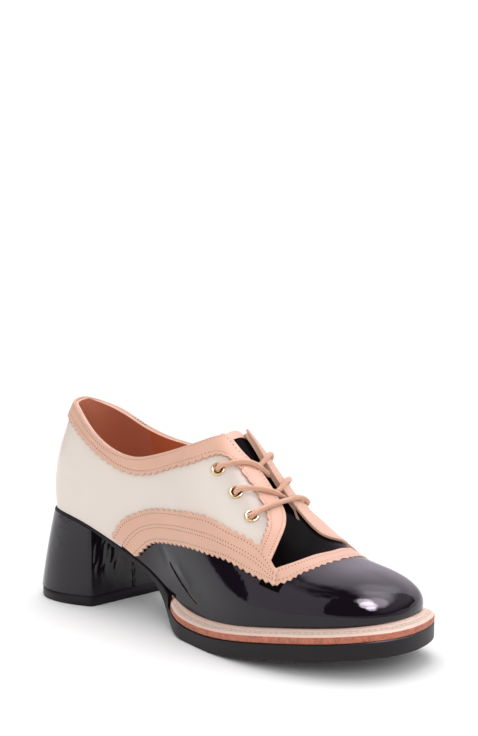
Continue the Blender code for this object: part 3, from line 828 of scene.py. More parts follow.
def finish_piece(item: bpy.types.Object, *materials: bpy.types.Material, angle: float = 40.0,
                 replaces: tuple[str, ...] = (), slot: str = "") -> bpy.types.Object:
    """Shade and dress a piece of the shoe, hang it under the root and hide the solids that it
    stands for.

    Args:
        item: The piece.
        *materials: Materials that are added to it.
        angle: Degrees over which an edge stays sharp.
        replaces: The solids that it stands for.
        slot: Its material slot; not used.

    Returns:
        The piece.
    """
    activate(item)
    bpy.ops.object.shade_smooth_by_angle(angle=math.radians(angle))
    for material in materials:
        item.data.materials.append(material)
    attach(item, "root")
    if replaces:
        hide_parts(*replaces)
    LOG.info("%s: %d faces", item.name, len(item.data.polygons))
    return item


@dataclass(frozen=True)
class Crease:
    """Soft trough pressed into the leather between two places on the last."""

    start: tuple[float, float]
    end: tuple[float, float]
    side: Side
    width: float
    depth: float
    tip: float = 0.04
    taper_power: float = 0.6

    def press(self, last: Last, points: np.ndarray) -> np.ndarray:
        """How deep the crease is at each point."""
        share = np.linspace(0, 1, 40)
        station = self.start[0] + share * (self.end[0] - self.start[0])
        climb = self.start[1] + share * (self.end[1] - self.start[1])
        line = last.point(station, self.side.value * (1 - climb))
        gap = np.full(len(points), 1.0)
        place = np.zeros(len(points))
        for spot, at in zip(line, share):
            distance = np.linalg.norm(points - spot, axis=1)
            closer = distance < gap
            gap = np.where(closer, distance, gap)
            place = np.where(closer, at, place)
        taper = np.sin(math.pi * np.clip(place, self.tip, 1 - self.tip)) ** self.taper_power
        return self.depth * taper * np.exp(-(gap / self.width) ** 2)


@dataclass
class Upper:
    """Vamp and quarters in one shell, with the lining inside."""

    last: Last
    materials: Materials
    wall: float = 0.0018
    lift: float = 0.0003
    throat_start: float = 7.72
    throat_end: float = 7.95
    front_end: float = 7.6
    ridge_power: float = 1.35
    ridge_start: float = 7.2
    ridge_blend: float = 1.25
    facing_setback: float = 0.006
    columns_per_row: int = 16
    rows: int = 44
    eyelet_hole: float = 0.0027
    lining_seam: float = 2.92
    lining_slant: tuple[float, float] = (0.5, 0.36)
    quarter_end: float = 8.0
    quarter_slant: tuple[float, float] = (0.3, 0.75)
    vamp_start: float = 4.2
    throat_painted_shade_end: float = 8.9
    # Station where the throat's painted shade ends and the plain black vamp begins.
    top_ahead: float = 0.1
    hem_ahead: float = 0.35
    front_inset: float = 0.02
    creases: tuple[Crease, ...] = (
        Crease((5.80, 0.135), (6.60, 0.088), Side.OUTER, 0.0040, -0.0007),
        Crease((5.30, 0.145), (5.66, 0.100), Side.OUTER, 0.0016, 0.0005),
        Crease((2.2, 0.17), (3.5, 0.13), Side.OUTER, 0.0045, 0.0005),
        Crease((1.3, 0.30), (2.3, 0.33), Side.OUTER, 0.0060, 0.0004),
        Crease((8.9, 0.75), (9.1, 0.45), Side.INNER, 0.0060, 0.0003),
        Crease((5.4, 0.20), (6.3, 0.06), Side.INNER, 0.0018, 0.0006),
    )

    def top(self, station: np.ndarray) -> np.ndarray:
        """Climb of the top edge; a negative station is on the inner side."""
        away = np.abs(station)
        outer = Edge(COLLAR_OUTER).climb(away)
        inner = Edge(COLLAR_INNER).climb(away)
        collar = np.where(station >= 0, outer, inner)
        fronts = [Edge(points).climb(np.minimum(away, self.front_end))
                  for points in (FACING_FRONT, FACING_FRONT_INNER)]
        facing = np.where(station >= 0, *fronts) - self.facing_setback
        top = np.where(away <= COLLAR_OUTER[-1][0], collar, facing)
        closing = (away - self.throat_start) / (self.throat_end - self.throat_start)
        return np.where(closing > 0, facing + (1 - facing) * np.clip(closing, 0, 1) ** 0.5, top)

    def side_line(self, station: np.ndarray) -> np.ndarray:
        """Climb of the line under the side band where the vamp meets the quarter."""
        top = Edge(SIDE_TOP).climb(station + self.top_ahead)
        return (top + Edge(SIDE_HEM).climb(station + self.hem_ahead)) / 2

    def build(self) -> bpy.types.Object:
        """Shell of the upper, outside and lining."""
        count = round(self.throat_end * self.columns_per_row)
        quarters, along, up = sheet("upper_shell", 2 * count, self.rows)
        station = (2 * along - 1) * self.throat_end
        blend = smooth((np.abs(station) - self.ridge_start) / self.ridge_blend)
        spread = 1 - (1 - up) ** (1 + (self.ridge_power - 1) * blend)
        climb = self.top(station) * spread
        across = climb - 1
        self._lay_skin(quarters, station, across)
        vamp_columns = round((self.last.last_row - self.throat_end) * self.columns_per_row)
        vamp, along, over = sheet("vamp_shell", vamp_columns, 2 * self.rows)
        station = self.throat_end + along * (self.last.last_row - self.throat_end)
        fold = 2 * over - 1
        across = np.sign(fold) * np.abs(fold) ** self.ridge_power
        self._lay_skin(vamp, station, across)
        activate(quarters)
        vamp.select_set(True)
        bpy.ops.object.join()
        mend(quarters)
        self._open_eyelets(quarters)
        skin = ("cream", "cream", "black", "throat_painted_shade")
        inside = ("lining", "quarter_lining", "lining", "lining")
        for name in skin + inside + ("plain_nude",) * len(skin):
            quarters.data.materials.append(self.materials[name])
        self._paint(quarters)
        modify(quarters, "SOLIDIFY", thickness=self.wall, offset=-1.0,
               material_offset=len(skin), material_offset_rim=2 * len(skin))
        return finish_piece(quarters, angle=50.0, replaces=("upper",), slot="patent_leather")

    def _lay_skin(self, item: bpy.types.Object, station: np.ndarray, across: np.ndarray) -> None:
        """Lay a sheet on the last, with its creases pressed in."""
        points = self.last.point(station, across)
        normals = self.last.normal(station, across)
        depth = sum(crease.press(self.last, points) for crease in self.creases)
        points = points - depth[:, None] * normals + (0, 0, self.lift)
        lay(item, points, station=station, across=across)

    def _open_eyelets(self, item: bpy.types.Object) -> None:
        """Take out the faces under each eyelet."""
        centres = np.array([face.center for face in item.data.polygons])
        spots = [self.last.point(station, side.value * (1 - climb))
                 for side in Side for station, climb in EYELET_PLACES]
        near = [np.linalg.norm(centres - spot - (0, 0, self.lift), axis=1) < self.eyelet_hole
                for spot in spots]
        activate(item)
        bpy.ops.object.mode_set(mode="EDIT")
        bpy.ops.mesh.select_all(action="DESELECT")
        bpy.ops.mesh.select_mode(type="FACE")
        bpy.ops.object.mode_set(mode="OBJECT")
        item.data.polygons.foreach_set("select", np.any(near, axis=0))
        bpy.ops.object.mode_set(mode="EDIT")
        bpy.ops.mesh.delete(type="FACE")
        bpy.ops.mesh.select_mode(type="VERT")
        bpy.ops.object.mode_set(mode="OBJECT")

    def _paint(self, item: bpy.types.Object) -> None:
        """Give each face its panel: 0 heel quarter, 1 quarter ahead, 2 black vamp, 3 throat, in the
        darker patent that paints its shade.
        """
        station, across = numbers(item, "station"), numbers(item, "across")
        fronts = {side: self._front_line(points)
                  for side, points in ((1.0, FACING_FRONT), (-1.0, FACING_FRONT_INNER))}
        grid = np.linspace(0, 9, 181)
        vamp_line = np.where(grid < self.vamp_start, -1.0, self.side_line(grid))
        for face in item.data.polygons:
            corners = list(face.vertices)
            s = float(np.abs(station[corners]).mean())
            mean = float(across[corners].mean())
            climb = 1 - abs(mean)
            side = float(np.sign(station[corners].mean()))
            if s > self.throat_end:
                side = 1.0 if mean < 0 else -1.0
            if s > self.front_end and climb > np.interp(s, *fronts[side]):
                # Throat faces take the darker patent: painted shade under the facings.
                face.material_index = 3 if s < self.throat_painted_shade_end else 2
            elif s < self._slanted(self.quarter_end, self.quarter_slant, climb) \
                    and climb > np.interp(s, grid, vamp_line):
                seam = self._slanted(self.lining_seam, self.lining_slant, climb)
                face.material_index = int(s > seam)
            else:
                face.material_index = 2

    @staticmethod
    def _slanted(station: float, slant: tuple[float, float], climb: float) -> float:
        """Station of a straight seam at a climb, from its slope and the climb where it stands."""
        slope, level = slant
        return station + slope * (level - climb)

    def _front_line(self, points: Points) -> Curve:
        """Stations and climbs just under a facing's front edge, as it runs forwards."""
        line = Edge(points).trace(300)
        line = line[: int(np.argmax(line[:, 0])) + 1]
        stations = np.r_[line[:, 0], line[-1, 0] + self.front_inset]
        return stations, np.r_[line[:, 1], 0.40] - self.front_inset


@dataclass
class Bands:
    """Nude leather pieces laid on the upper, with pinked edges."""

    last: Last
    materials: Materials
    lift: float = 0.0003
    gap: float = 0.0003
    thickness: float = 0.0014
    tooth: float = 0.0044
    tooth_depth: float = 0.0017
    columns_per_tooth: int = 6
    tuck_length: float = 0.0020
    tuck_depth: float = 0.0004
    rows: int = 14
    bow: float = 0.65
    bevel: float = 0.00030

    def strip(self, name: str, low: np.ndarray, high: np.ndarray, pinked: tuple[bool, bool],
              finish: str, node: str, tucks: tuple[bool, bool] = (False, False),
              joined_from: float = 99.0) -> bpy.types.Object:
        """Leather strip between two drawn lines.

        Args:
            name: The piece's name.
            low: (station, across) points of its low edge, as many as there are columns plus one.
            high: The same for its high edge.
            pinked: Whether the low and the high edge are cut in teeth.
            finish: Its finish.
            node: The solid that it stands for.
            tucks: Whether its start and its end go under the next piece.
            joined_from: Station from which the high edge is joined to the next piece.

        Returns:
            The piece.
        """
        columns = len(low) - 1
        item, along, up = sheet(name, columns, self.rows)
        index = cells(along, columns)
        edges = [self.last.over(edge[:, 0], edge[:, 1], self.gap) for edge in (low, high)]
        width = np.linalg.norm(edges[1] - edges[0], axis=1)[index]
        length = (distances(edges[0])[index] + distances(edges[1])[index]) / 2
        phase = (np.arange(columns + 1) % self.columns_per_tooth) / self.columns_per_tooth
        bite = self.tooth_depth * np.abs(2 * phase - 1)[index]
        share = (1 - self.bow) * up + self.bow * (0.5 - 0.5 * np.cos(math.pi * up))
        low_bite = bite * pinked[0]
        free = np.abs(high[index, 0]) < joined_from
        high_bite = bite * pinked[1] * free
        share = share + (low_bite * (1 - share) ** 4 - high_bite * share ** 4) / width
        station = low[index, 0] + share * (high[index, 0] - low[index, 0])
        across = low[index, 1] + share * (high[index, 1] - low[index, 1])
        ends = (length, length.max() - length)
        sink = sum(tuck * (1 - smooth(end / self.tuck_length)) for tuck, end in zip(tucks, ends))
        points = self.last.over(station, across, self.gap - self.tuck_depth * sink)
        lay(item, points + (0, 0, self.lift), along=length, low=share * width,
            high=(1 - share) * width, middle=(share - 0.5) * width, up=up,
            joined=((up > 0.5) & ~free).astype(float))
        modify(item, "SOLIDIFY", thickness=self.thickness, offset=1.0)
        self._weigh_edges(item)
        modify(item, "BEVEL", width=self.bevel, segments=2, limit_method="WEIGHT")
        return finish_piece(item, self.materials[finish], replaces=(node,), slot="nude_leather")

    @staticmethod
    def _weigh_edges(item: bpy.types.Object) -> None:
        """Mark the long cut edges for the bevel, and leave the ends square."""
        mesh = item.data
        pairs = np.empty(2 * len(mesh.edges), int)
        mesh.edges.foreach_get("vertices", pairs)
        first, second = pairs.reshape(-1, 2).T
        along, up, joined = (numbers(item, name) for name in ("along", "up", "joined"))
        marked = (np.abs(up[first] - 0.5) > 0.499) & (up[first] == up[second])
        marked &= np.abs(along[first] - along[second]) > 1e-6
        marked &= joined[first] + joined[second] < 0.5
        store = mesh.attributes.new("bevel_weight_edge", "FLOAT", "EDGE")
        store.data.foreach_set("value", marked.astype(np.float32))

    def teeth(self, edge: Edge, sign: int) -> int:
        """Number of columns that gives whole teeth along a drawn line."""
        line = edge.trace(200)
        points = self.last.point(line[:, 0], sign * (1 - line[:, 1]))
        return self.columns_per_tooth * max(round(distances(points)[-1] / self.tooth), 1)

    def build(self) -> list[bpy.types.Object]:
        """Collar band, facings, side bands and vamp band."""
        pieces = [self._collar()]
        for side in Side:
            tag = side.name.lower()
            front = FACING_FRONT if side is Side.OUTER else FACING_FRONT_INNER
            plans = (
                ("facing_band", FACING_BACK, front, (True, False), "band", (True, True), 99.0),
                ("side_band", SIDE_HEM, SIDE_TOP, (True, True), "side_band", (False, True), 7.95))
            for name, low, high, pinked, finish, tucks, joined_from in plans:
                columns = self.teeth(Edge(low), side.value)
                lines = []
                for line in (Edge(low).trace(columns + 1), Edge(high).trace(columns + 1)):
                    if side is Side.INNER:
                        line = line[::-1] * (-1, 1)
                    lines.append(np.stack([line[:, 0], line[:, 1] - 1], -1))
                pieces.append(self.strip(f"{name}_{tag}_leather", *lines, pinked, finish,
                                         f"{name}_{tag}", tucks[::-side.value], joined_from))
        pieces.append(self._vamp_band())
        return pieces

    def _collar(self) -> bpy.types.Object:
        """Band round the collar, from one facing round the back to the other."""
        lines = []
        for inner, outer in ((COLLAR_HEM, COLLAR_HEM), (COLLAR_INNER, COLLAR_OUTER)):
            back = tuple((-s, c) for s, c in inner[:0:-1])
            lines.append(Edge(back + outer))
        columns = self.teeth(lines[0], -1)
        low, high = (line.trace(columns + 1) - (0, 1) for line in lines)
        return self.strip("collar_leather", low, high, (True, False), "band", "collar_band")

    def _vamp_band(self) -> bpy.types.Object:
        """Band across the vamp."""
        lines = []
        for points in (VAMP_BAND_HEM, VAMP_BAND_TOP):
            half = tuple((s, climb - 1) for s, climb in points)
            lines.append(Edge(half + tuple((s, -c) for s, c in half[-2::-1])))
        columns = self.teeth(Edge(VAMP_BAND_HEM), -1) * 2
        low, high = (line.trace(columns + 1)[::-1] for line in lines)
        return self.strip("vamp_band_leather", low, high, (True, False), "band", "vamp_band")


Spot = tuple[float, float, float]
ON_FACING = 0.0033

# How a lace leaves its eyelet: station ahead, across inwards, height.
EYELET_EXIT: tuple[Spot, ...] = (
    (0.0, 0.0, -0.0004), (0.0, 0.0, 0.0008), (0.015, 0.012, 0.0022), (0.04, 0.034, 0.0030))


@dataclass(frozen=True)
class Run:
    """One run of the lace from an eyelet, through (station, across, height) spots."""

    name: str
    node: str
    row: int
    side: Side
    spots: tuple[Spot, ...]
    returns: bool = False


LACE_RUNS: tuple[Run, ...] = (
    Run("lace_bar", "lace_bar", 2, Side.OUTER, (
        (7.55, 0.22, ON_FACING), (7.58, 0.14, ON_FACING), (7.59, 0.07, ON_FACING),
        (7.58, 0.0, ON_FACING - 0.0006), (7.56, -0.07, ON_FACING), (7.54, -0.14, ON_FACING),
        (7.52, -0.22, ON_FACING)), True),
    Run("lace_middle_outer", "lace_cross_middle", 1, Side.OUTER, (
        (7.14, 0.235, ON_FACING), (7.22, 0.18, ON_FACING), (7.31, 0.12, ON_FACING),
        (7.38, 0.075, ON_FACING), (7.43, 0.035, 0.0018), (7.46, 0.0, -0.0002),
        (7.47, -0.03, -0.0012), (7.48, -0.07, -0.0030))),
    Run("lace_middle_inner", "lace_cross_middle", 1, Side.INNER, (
        (7.13, 0.22, ON_FACING), (7.20, 0.15, ON_FACING), (7.27, 0.09, ON_FACING),
        (7.32, 0.045, 0.0022), (7.36, 0.0, 0.0002), (7.38, -0.03, -0.0012),
        (7.40, -0.06, -0.0030))),
    Run("lace_top_outer", "lace_cross_top", 0, Side.OUTER, (
        (6.68, 0.26, ON_FACING), (6.76, 0.19, ON_FACING), (6.85, 0.12, ON_FACING),
        (6.93, 0.075, ON_FACING), (6.99, 0.04, 0.0020), (7.02, 0.01, 0.0),
        (7.04, -0.03, -0.0012), (7.05, -0.06, -0.0030))),
    Run("lace_top_inner", "lace_cross_top", 0, Side.INNER, (
        (6.66, 0.25, ON_FACING), (6.73, 0.18, ON_FACING), (6.80, 0.11, ON_FACING),
        (6.86, 0.055, 0.0024), (6.90, 0.01, 0.0002), (6.93, -0.03, -0.0012),
        (6.95, -0.06, -0.0030))),
)


@dataclass
class Throat:
    """Tongue, eyelets and laces."""

    last: Last
    materials: Materials
    lift: float = 0.0003
    wall: float = 0.0018
    tongue_depth: float = 0.0024
    tongue_thickness: float = 0.0016
    tongue_span: tuple[float, float] = (6.27, 8.75)
    tongue_reach: float = 0.345
    tongue_round: float = 0.35
    tongue_corner: float = 1 / 12
    tongue_trim: float = 0.06
    bore: float = 0.0023
    crown_start: float = 0.0027
    flange: float = 0.00375
    rim: float = 0.0007
    throat_depth: float = 0.0004
    tube: float = 0.0002
    lace_radius: float = 0.0015
    lace_step: float = 0.0004

    def tongue(self) -> bpy.types.Object:
        """Patent tongue with a nude top, under the facings, in the darker patent that paints their
        shade.
        """
        item, along, over = sheet("tongue_leather", 90, 40)
        start, end = self.tongue_span
        station = start + along * (end - start)
        corner = np.clip(1 - along / self.tongue_corner, 0, 1)
        reach = self.tongue_reach * (1 - self.tongue_round * corner ** 2)
        across = reach * (2 * over - 1)
        points = self.last.over(station, across, -self.tongue_depth)
        lay(item, points, top=along)
        # Most of the tongue takes the throat's darker patent: painted shade under the facings.
        for name in ("throat_painted_shade", "plain_nude", "quarter_lining", "quarter_lining"):
            item.data.materials.append(self.materials[name])
        top = numbers(item, "top")
        for face in item.data.polygons:
            face.material_index = int(top[list(face.vertices)].mean() < self.tongue_trim)
        modify(item, "SOLIDIFY", thickness=self.tongue_thickness, offset=-1.0, material_offset=2)
        modify(item, "BEVEL", width=0.0003, segments=2, limit_method="ANGLE",
               angle_limit=math.radians(50))
        return finish_piece(item, replaces=("tongue",), slot="black_patent")

    def socket(self, side: Side, row: int) -> Matrix:
        """Place of an eyelet, with Z out of the leather."""
        station, climb = EYELET_PLACES[row]
        across = side.value * (1 - climb)
        normal = Vector(self.last.normal(station, across))
        origin = Vector(self.last.point(station, across)) + Vector((0, 0, self.lift))
        return Matrix.Translation(origin) @ normal.to_track_quat("Z", "Y").to_matrix().to_4x4()

    def eyelets(self) -> list[bpy.types.Object]:
        """Six rolled eyelets."""
        pieces = []
        profile = [(self.bore, -self.wall), (self.bore, -self.throat_depth)]
        crown = (self.flange - self.crown_start) / 2
        for i in range(13):
            turn = math.pi * (1 - i / 12)
            profile.append((self.crown_start + crown + crown * math.cos(turn),
                            self.lift + self.rim * math.sin(turn)))
        number = 0
        for side in Side:
            for row in range(len(EYELET_PLACES)):
                number += 1
                item, turn, up = sheet(f"eyelet_ring_{number}", 48, len(profile) - 1)
                radius, height = np.array(profile)[cells(up, len(profile) - 1)].T
                angle = 2 * math.pi * turn
                local = np.stack([radius * np.cos(angle), radius * np.sin(angle), height], -1)
                place = np.array(self.socket(side, row))
                lay(item, local @ place[:3, :3].T + place[:3, 3])
                mend(item)
                modify(item, "SOLIDIFY", thickness=self.tube, offset=-1.0)
                mend(item, True)
                pieces.append(finish_piece(item, self.materials["brass"], angle=60.0,
                                           replaces=(f"eyelet_{number}",), slot="eyelet_brass"))
        return pieces

    def lace(self, name: str, route: list[Spot], node: str) -> bpy.types.Object:
        """Round lace along (station, across, height) points.

        Args:
            name: The piece's name.
            route: Points over the last that the lace passes.
            node: The solid that it stands for.

        Returns:
            The piece.
        """
        knots = np.array([self.last.over(*point) for point in route]) + (0, 0, self.lift)
        for _ in range(4):
            middle = (knots[1:] + knots[:-1]) / 2
            quarter = np.empty((2 * len(middle), 3))
            quarter[0::2] = (knots[:-1] + middle) / 2
            quarter[1::2] = (knots[1:] + middle) / 2
            knots = np.vstack([knots[:1], quarter, knots[-1:]])
        walk = distances(knots)
        columns = round(walk[-1] / self.lace_step)
        even = np.linspace(0, walk[-1], columns + 1)
        path = np.stack([np.interp(even, walk, knots[:, i]) for i in range(3)], -1)
        forward = np.gradient(path, axis=0)
        forward /= np.linalg.norm(forward, axis=1, keepdims=True)
        side = np.cross(forward, (0.0, 0.0, 1.0))
        side /= np.linalg.norm(side, axis=1, keepdims=True).clip(1e-6)
        up = np.cross(side, forward)
        item, along, turn = sheet(name, columns, 20)
        index = cells(along, columns)
        angle = -2 * math.pi * turn[:, None]
        ring = np.cos(angle) * side[index] + np.sin(angle) * up[index]
        lay(item, path[index] + self.lace_radius * ring, along=even[index], turn=turn)
        mend(item, True)
        return finish_piece(item, self.materials["braid"], angle=70.0, replaces=(node,),
                            slot="nude_lace")

    def laces(self) -> list[bpy.types.Object]:
        """The bar at the bottom and two crossings whose strands dip between the facings."""
        pieces = []
        for run in LACE_RUNS:
            station, climb = EYELET_PLACES[run.row]
            sign = run.side.value
            start = [(station + ahead, sign * (1 - climb - inward), height)
                     for ahead, inward, height in EYELET_EXIT]
            route = start + [(s, sign * c, height) for s, c, height in run.spots]
            if run.returns:
                route += [(s, -c, height) for s, c, height in start[::-1]]
            pieces.append(self.lace(f"{run.name}_cord", route, run.node))
        return pieces


HEEL_POINTS = 360


@dataclass
class Bottom:
    """Welt, outsole, heel, top lift and insole."""

    last: Last
    materials: Materials
    welt_thickness: float = 0.0042
    welt_slope: float = 0.0026
    welt_margin: float = 0.0062
    welt_lap: float = 0.005
    welt_start: float = 0.120
    welt_tip: float = 0.005
    welt_corner: float = 0.0007
    welt_section: int = 24
    seat_margin: float = 0.001
    ledge_start: float = 0.109
    forepart_ramp: float = 0.030
    forepart_start: float = 0.099
    outsole_thickness: float = 0.0087
    shank_thickness: float = 0.0034
    seat_thickness: float = 0.0014
    sole_edge: float = 0.0004
    heel_breast: float = 0.0505
    heel_flare: float = 0.0096
    heel_drop: float = 0.0013
    lift_thickness: float = 0.0063
    gap: float = 0.0003
    wrap: float = 0.0004
    corner: float = 0.0019
    seam_width: float = 0.0008
    seam_depth: float = 0.0014
    fold_depth: float = 0.00012
    fold_rate: float = 620.0
    fine_fold_rate: float = 1500.0
    fold_level: float = 0.40
    fold_spread: float = 0.32
    breast_edge: float = 0.0016
    breast_blur: float = 0.0012
    seam_aside: float = 0.0005
    ledge_width: float = 0.002
    ledge_sink: float = 0.00005
    straight_flare: float = 0.75

    def edge_margin(self, x: np.ndarray) -> np.ndarray:
        """How far the sole stands out past the feather line."""
        ramp = smooth((x - self.ledge_start) / self.forepart_ramp)
        return self.seat_margin + (self.welt_margin - self.seat_margin) * ramp

    def welt(self) -> bpy.types.Object:
        """Stitched leather strip round the forepart."""
        last = self.last
        half = np.linspace(last.station_at(self.welt_start), last.last_row, 180)
        corner = self.welt_corner
        columns = 2 * len(half) - 2
        item, along, turn = sheet("welt_strip", columns, self.welt_section)
        index = cells(along, columns)
        x = last.read(last.along, half)
        margin = self.edge_margin(x)
        tip = np.sqrt(np.clip((x - self.welt_start) / self.welt_tip, 0.04, 1.0))
        floor = -self.welt_slope - self.welt_thickness
        shape = (("lap", floor), ("edge_in", floor), ("edge", floor + corner),
                 ("edge", -self.welt_slope - corner), ("edge_in", -self.welt_slope),
                 ("feather", 0.0), ("lap", 0.0), ("lap", floor))
        reach = {"lap": np.full_like(margin, -self.welt_lap), "edge_in": margin * tip - corner,
                 "edge": margin * tip, "feather": np.zeros_like(margin)}
        rails = [[(last.rim(half, side, reach[name]), height) for name, height in shape]
                 for side in Side]
        points = np.empty((len(index), 3))
        low = np.empty(len(index))
        profile = turn * (len(shape) - 1)
        first = np.clip(np.floor(profile).astype(int), 0, len(shape) - 2)
        share = profile - first
        for number, side in enumerate(Side):
            here = index < len(half) if side is Side.OUTER else index >= len(half)
            column = index if side is Side.OUTER else columns - index
            for k in range(len(shape) - 1):
                pick = here & (first == k)
                (a, za), (b, zb) = rails[number][k], rails[number][k + 1]
                at = column[pick]
                t = share[pick][:, None]
                points[pick] = a[at] * (1 - t) + b[at] * t
                points[pick, 2] += za + (zb - za) * share[pick]
                ra, rb = reach[shape[k][0]][at], reach[shape[k + 1][0]][at]
                low[pick] = (margin * tip)[at] - (ra + (rb - ra) * share[pick])
        outer, inner = (last.rim(half, side, margin) for side in Side)
        walk = distances(np.vstack([outer, inner[-2::-1]]))
        lay(item, points, along=walk[index], low=low)
        mend(item, True)
        return finish_piece(item, self.materials["welt"], angle=35.0, replaces=("welt",),
                            slot="welt_leather")

    def outsole(self) -> bpy.types.Object:
        """Outsole with softened edges, thin under the waist and thick under the forepart."""
        last = self.last
        step = last.station_at(self.welt_start - self.gap)
        half = np.sort(np.r_[np.linspace(0, last.last_row, 280), step, step + self.ledge_width])
        ledge = half > step + self.ledge_width / 2
        margin = self.edge_margin(last.read(last.along, half))
        full = self.outsole_thickness + self.welt_thickness + self.welt_slope + self.gap
        drop = np.where(ledge, self.welt_slope + self.welt_thickness + self.ledge_sink, 0.0)
        rails = []
        for side, order in ((Side.OUTER, 1), (Side.INNER, -1)):
            ring = []
            for inset, above, height in ((1, False, 0), (0, False, 1), (0, True, -1),
                                         (1, True, 0)):
                rail = last.rim(half, side, margin - inset * self.sole_edge)
                x = rail[:, 0] - last.shift[0]
                waist = smooth((x - self.heel_breast) / self.forepart_ramp)
                shank = self.seat_thickness + (self.shank_thickness - self.seat_thickness) * waist
                fore = smooth((x - self.forepart_start) / self.forepart_ramp)
                thick = shank + (full - shank) * fore
                bottom = np.maximum(rail[:, 2] - thick, 0.0)
                rail[:, 2] = (rail[:, 2] - drop if above else bottom) + height * self.sole_edge
                ring.append(rail)
            rails += ring[::order]
        rails.append(rails[0])
        columns, rows = len(half) - 1, len(rails) - 1
        item, along, turn = sheet("outsole_rubber", columns, rows)
        lay(item, np.array(rails)[cells(turn, rows), cells(along, columns)])
        mend(item, True)
        return finish_piece(item, self.materials["rubber"], angle=35.0, replaces=("outsole",),
                            slot="black_rubber")

    def heel(self) -> bpy.types.Object:
        """Covered heel block, creased over its breast and closed by a seam."""
        floor = self.lift_thickness + self.gap
        loops = []
        for share in np.linspace(0, 1, 61):
            loop = self._heel_loop(share, self.wrap)
            top = self.last.seat(loop[:, 0]) - self.heel_drop
            loop[:, 2] = top + (floor - top) * share
            loops.append(self._creased(loop, float(share)))
        return self._stack("heel_cover", loops, "heel", "heel", "black_patent")

    def heel_lift(self) -> bpy.types.Object:
        """Top lift under the heel, with softened edges."""
        loops = []
        soft, top = self.sole_edge, self.lift_thickness
        for height, inset in ((top, soft), (top - soft, 0.0), (soft, 0.0), (0.0, soft)):
            loop = self._heel_loop(1.0, -inset)
            loop[:, 2] = height
            loops.append(loop)
        return self._stack("heel_lift_rubber", loops, "rubber", "heel_lift", "black_rubber")

    def _stack(self, name: str, loops: list[np.ndarray], finish: str, node: str,
               slot: str) -> bpy.types.Object:
        """Closed piece through outlines.

        Args:
            name: The piece's name.
            loops: Its outlines from the top down, each with as many points.
            finish: Its finish.
            node: The solid that it stands for.
            slot: Its material slot; handed on, but not used.

        Returns:
            The piece.
        """
        around = len(loops[0])
        rows = len(loops) - 1
        item, turn, up = sheet(name, around, rows)
        lay(item, np.array(loops)[cells(up, rows), cells(turn, around) % around])
        mend(item, True)
        return finish_piece(item, self.materials[finish], angle=50.0, replaces=(node,), slot=slot)

    def _heel_loop(self, share: float, grow: float) -> np.ndarray:
        """Plan outline of the heel at a share of its height from the top."""
        half = self.last.station_at(self.heel_breast) * np.linspace(1, 0, 90) ** 0.8
        bowed = 1 - (1 - share) ** 2
        straight = self.straight_flare
        flare = self.heel_flare * (straight * share + (1 - straight) * bowed)
        x_last = self.last.read(self.last.along, half)
        behind = 1 - (x_last / self.heel_breast) ** 2
        spread = self.seat_margin + grow + flare * behind
        outer = self.last.rim(half, Side.OUTER, spread)
        inner = self.last.rim(half, Side.INNER, spread)[::-1]
        outer[0, 0] = inner[-1, 0] = self.heel_breast + self.last.shift[0] + min(grow, 0.0)
        breast = np.linspace(inner[-1], outer[0], 80)[1:-1]
        return self._rounded(np.vstack([outer, inner[1:], breast]))

    def _rounded(self, loop: np.ndarray) -> np.ndarray:
        """Even points along a closed outline, with its corners rounded."""
        closed = np.vstack([loop, loop[:1]])
        walk = distances(closed[:, :2])
        even = np.linspace(0, walk[-1], HEEL_POINTS + 1)[:-1]
        points = np.stack([np.interp(even, walk, closed[:, i]) for i in range(3)], -1)
        reach = np.arange(-12, 13)
        weights = np.exp(-(reach * walk[-1] / HEEL_POINTS / self.corner) ** 2)
        weights /= weights.sum()
        return sum(w * np.roll(points, k, axis=0) for w, k in zip(weights, reach))

    def _creased(self, loop: np.ndarray, share: float) -> np.ndarray:
        """Press the seam and the drawn creases into the breast."""
        x = loop[:, 0] - self.last.shift[0]
        on_breast = smooth((x - self.heel_breast + self.breast_edge) / self.breast_blur)
        y = loop[:, 1] - self.last.shift[1] + self.seam_aside
        seam = self.seam_depth * np.exp(-(y / self.seam_width) ** 4)
        drift = 0.0016 * math.sin(6 * share + 1) + 0.0005 * math.sin(17 * share)
        folds = np.sin((y + drift) * self.fold_rate + 2.2 * share)
        folds += 0.35 * np.sin((y - 1.4 * drift) * self.fine_fold_rate + 4 * share)
        folds *= 0.25 + 0.75 * math.exp(-((share - self.fold_level) / self.fold_spread) ** 2)
        amount = self.fold_depth * (0.4 + 0.6 * smooth((-y - 0.002) / 0.012))
        loop[:, 0] -= on_breast * (seam + amount * folds)
        return loop

    def dress_nodes(self, nodes: dict[str, bpy.types.Object]) -> None:
        """Give the insole, which keeps its solid, its finish."""
        mesh = nodes["insole"].data
        mesh.materials.clear()
        mesh.materials.append(self.materials["lining"])


def heading(azimuth: float, elevation: float) -> Spot:
    """Unit direction at degrees round from -Y and up."""
    turn, rise = math.radians(azimuth), math.radians(elevation)
    return math.sin(turn) * math.cos(rise), -math.cos(turn) * math.cos(rise), math.sin(rise)


@dataclass(frozen=True)
class SoftBox:
    """Round soft light that only the gloss sees: place, radius in degrees, blur and power."""

    azimuth: float
    elevation: float
    radius: float
    blur: float
    power: float


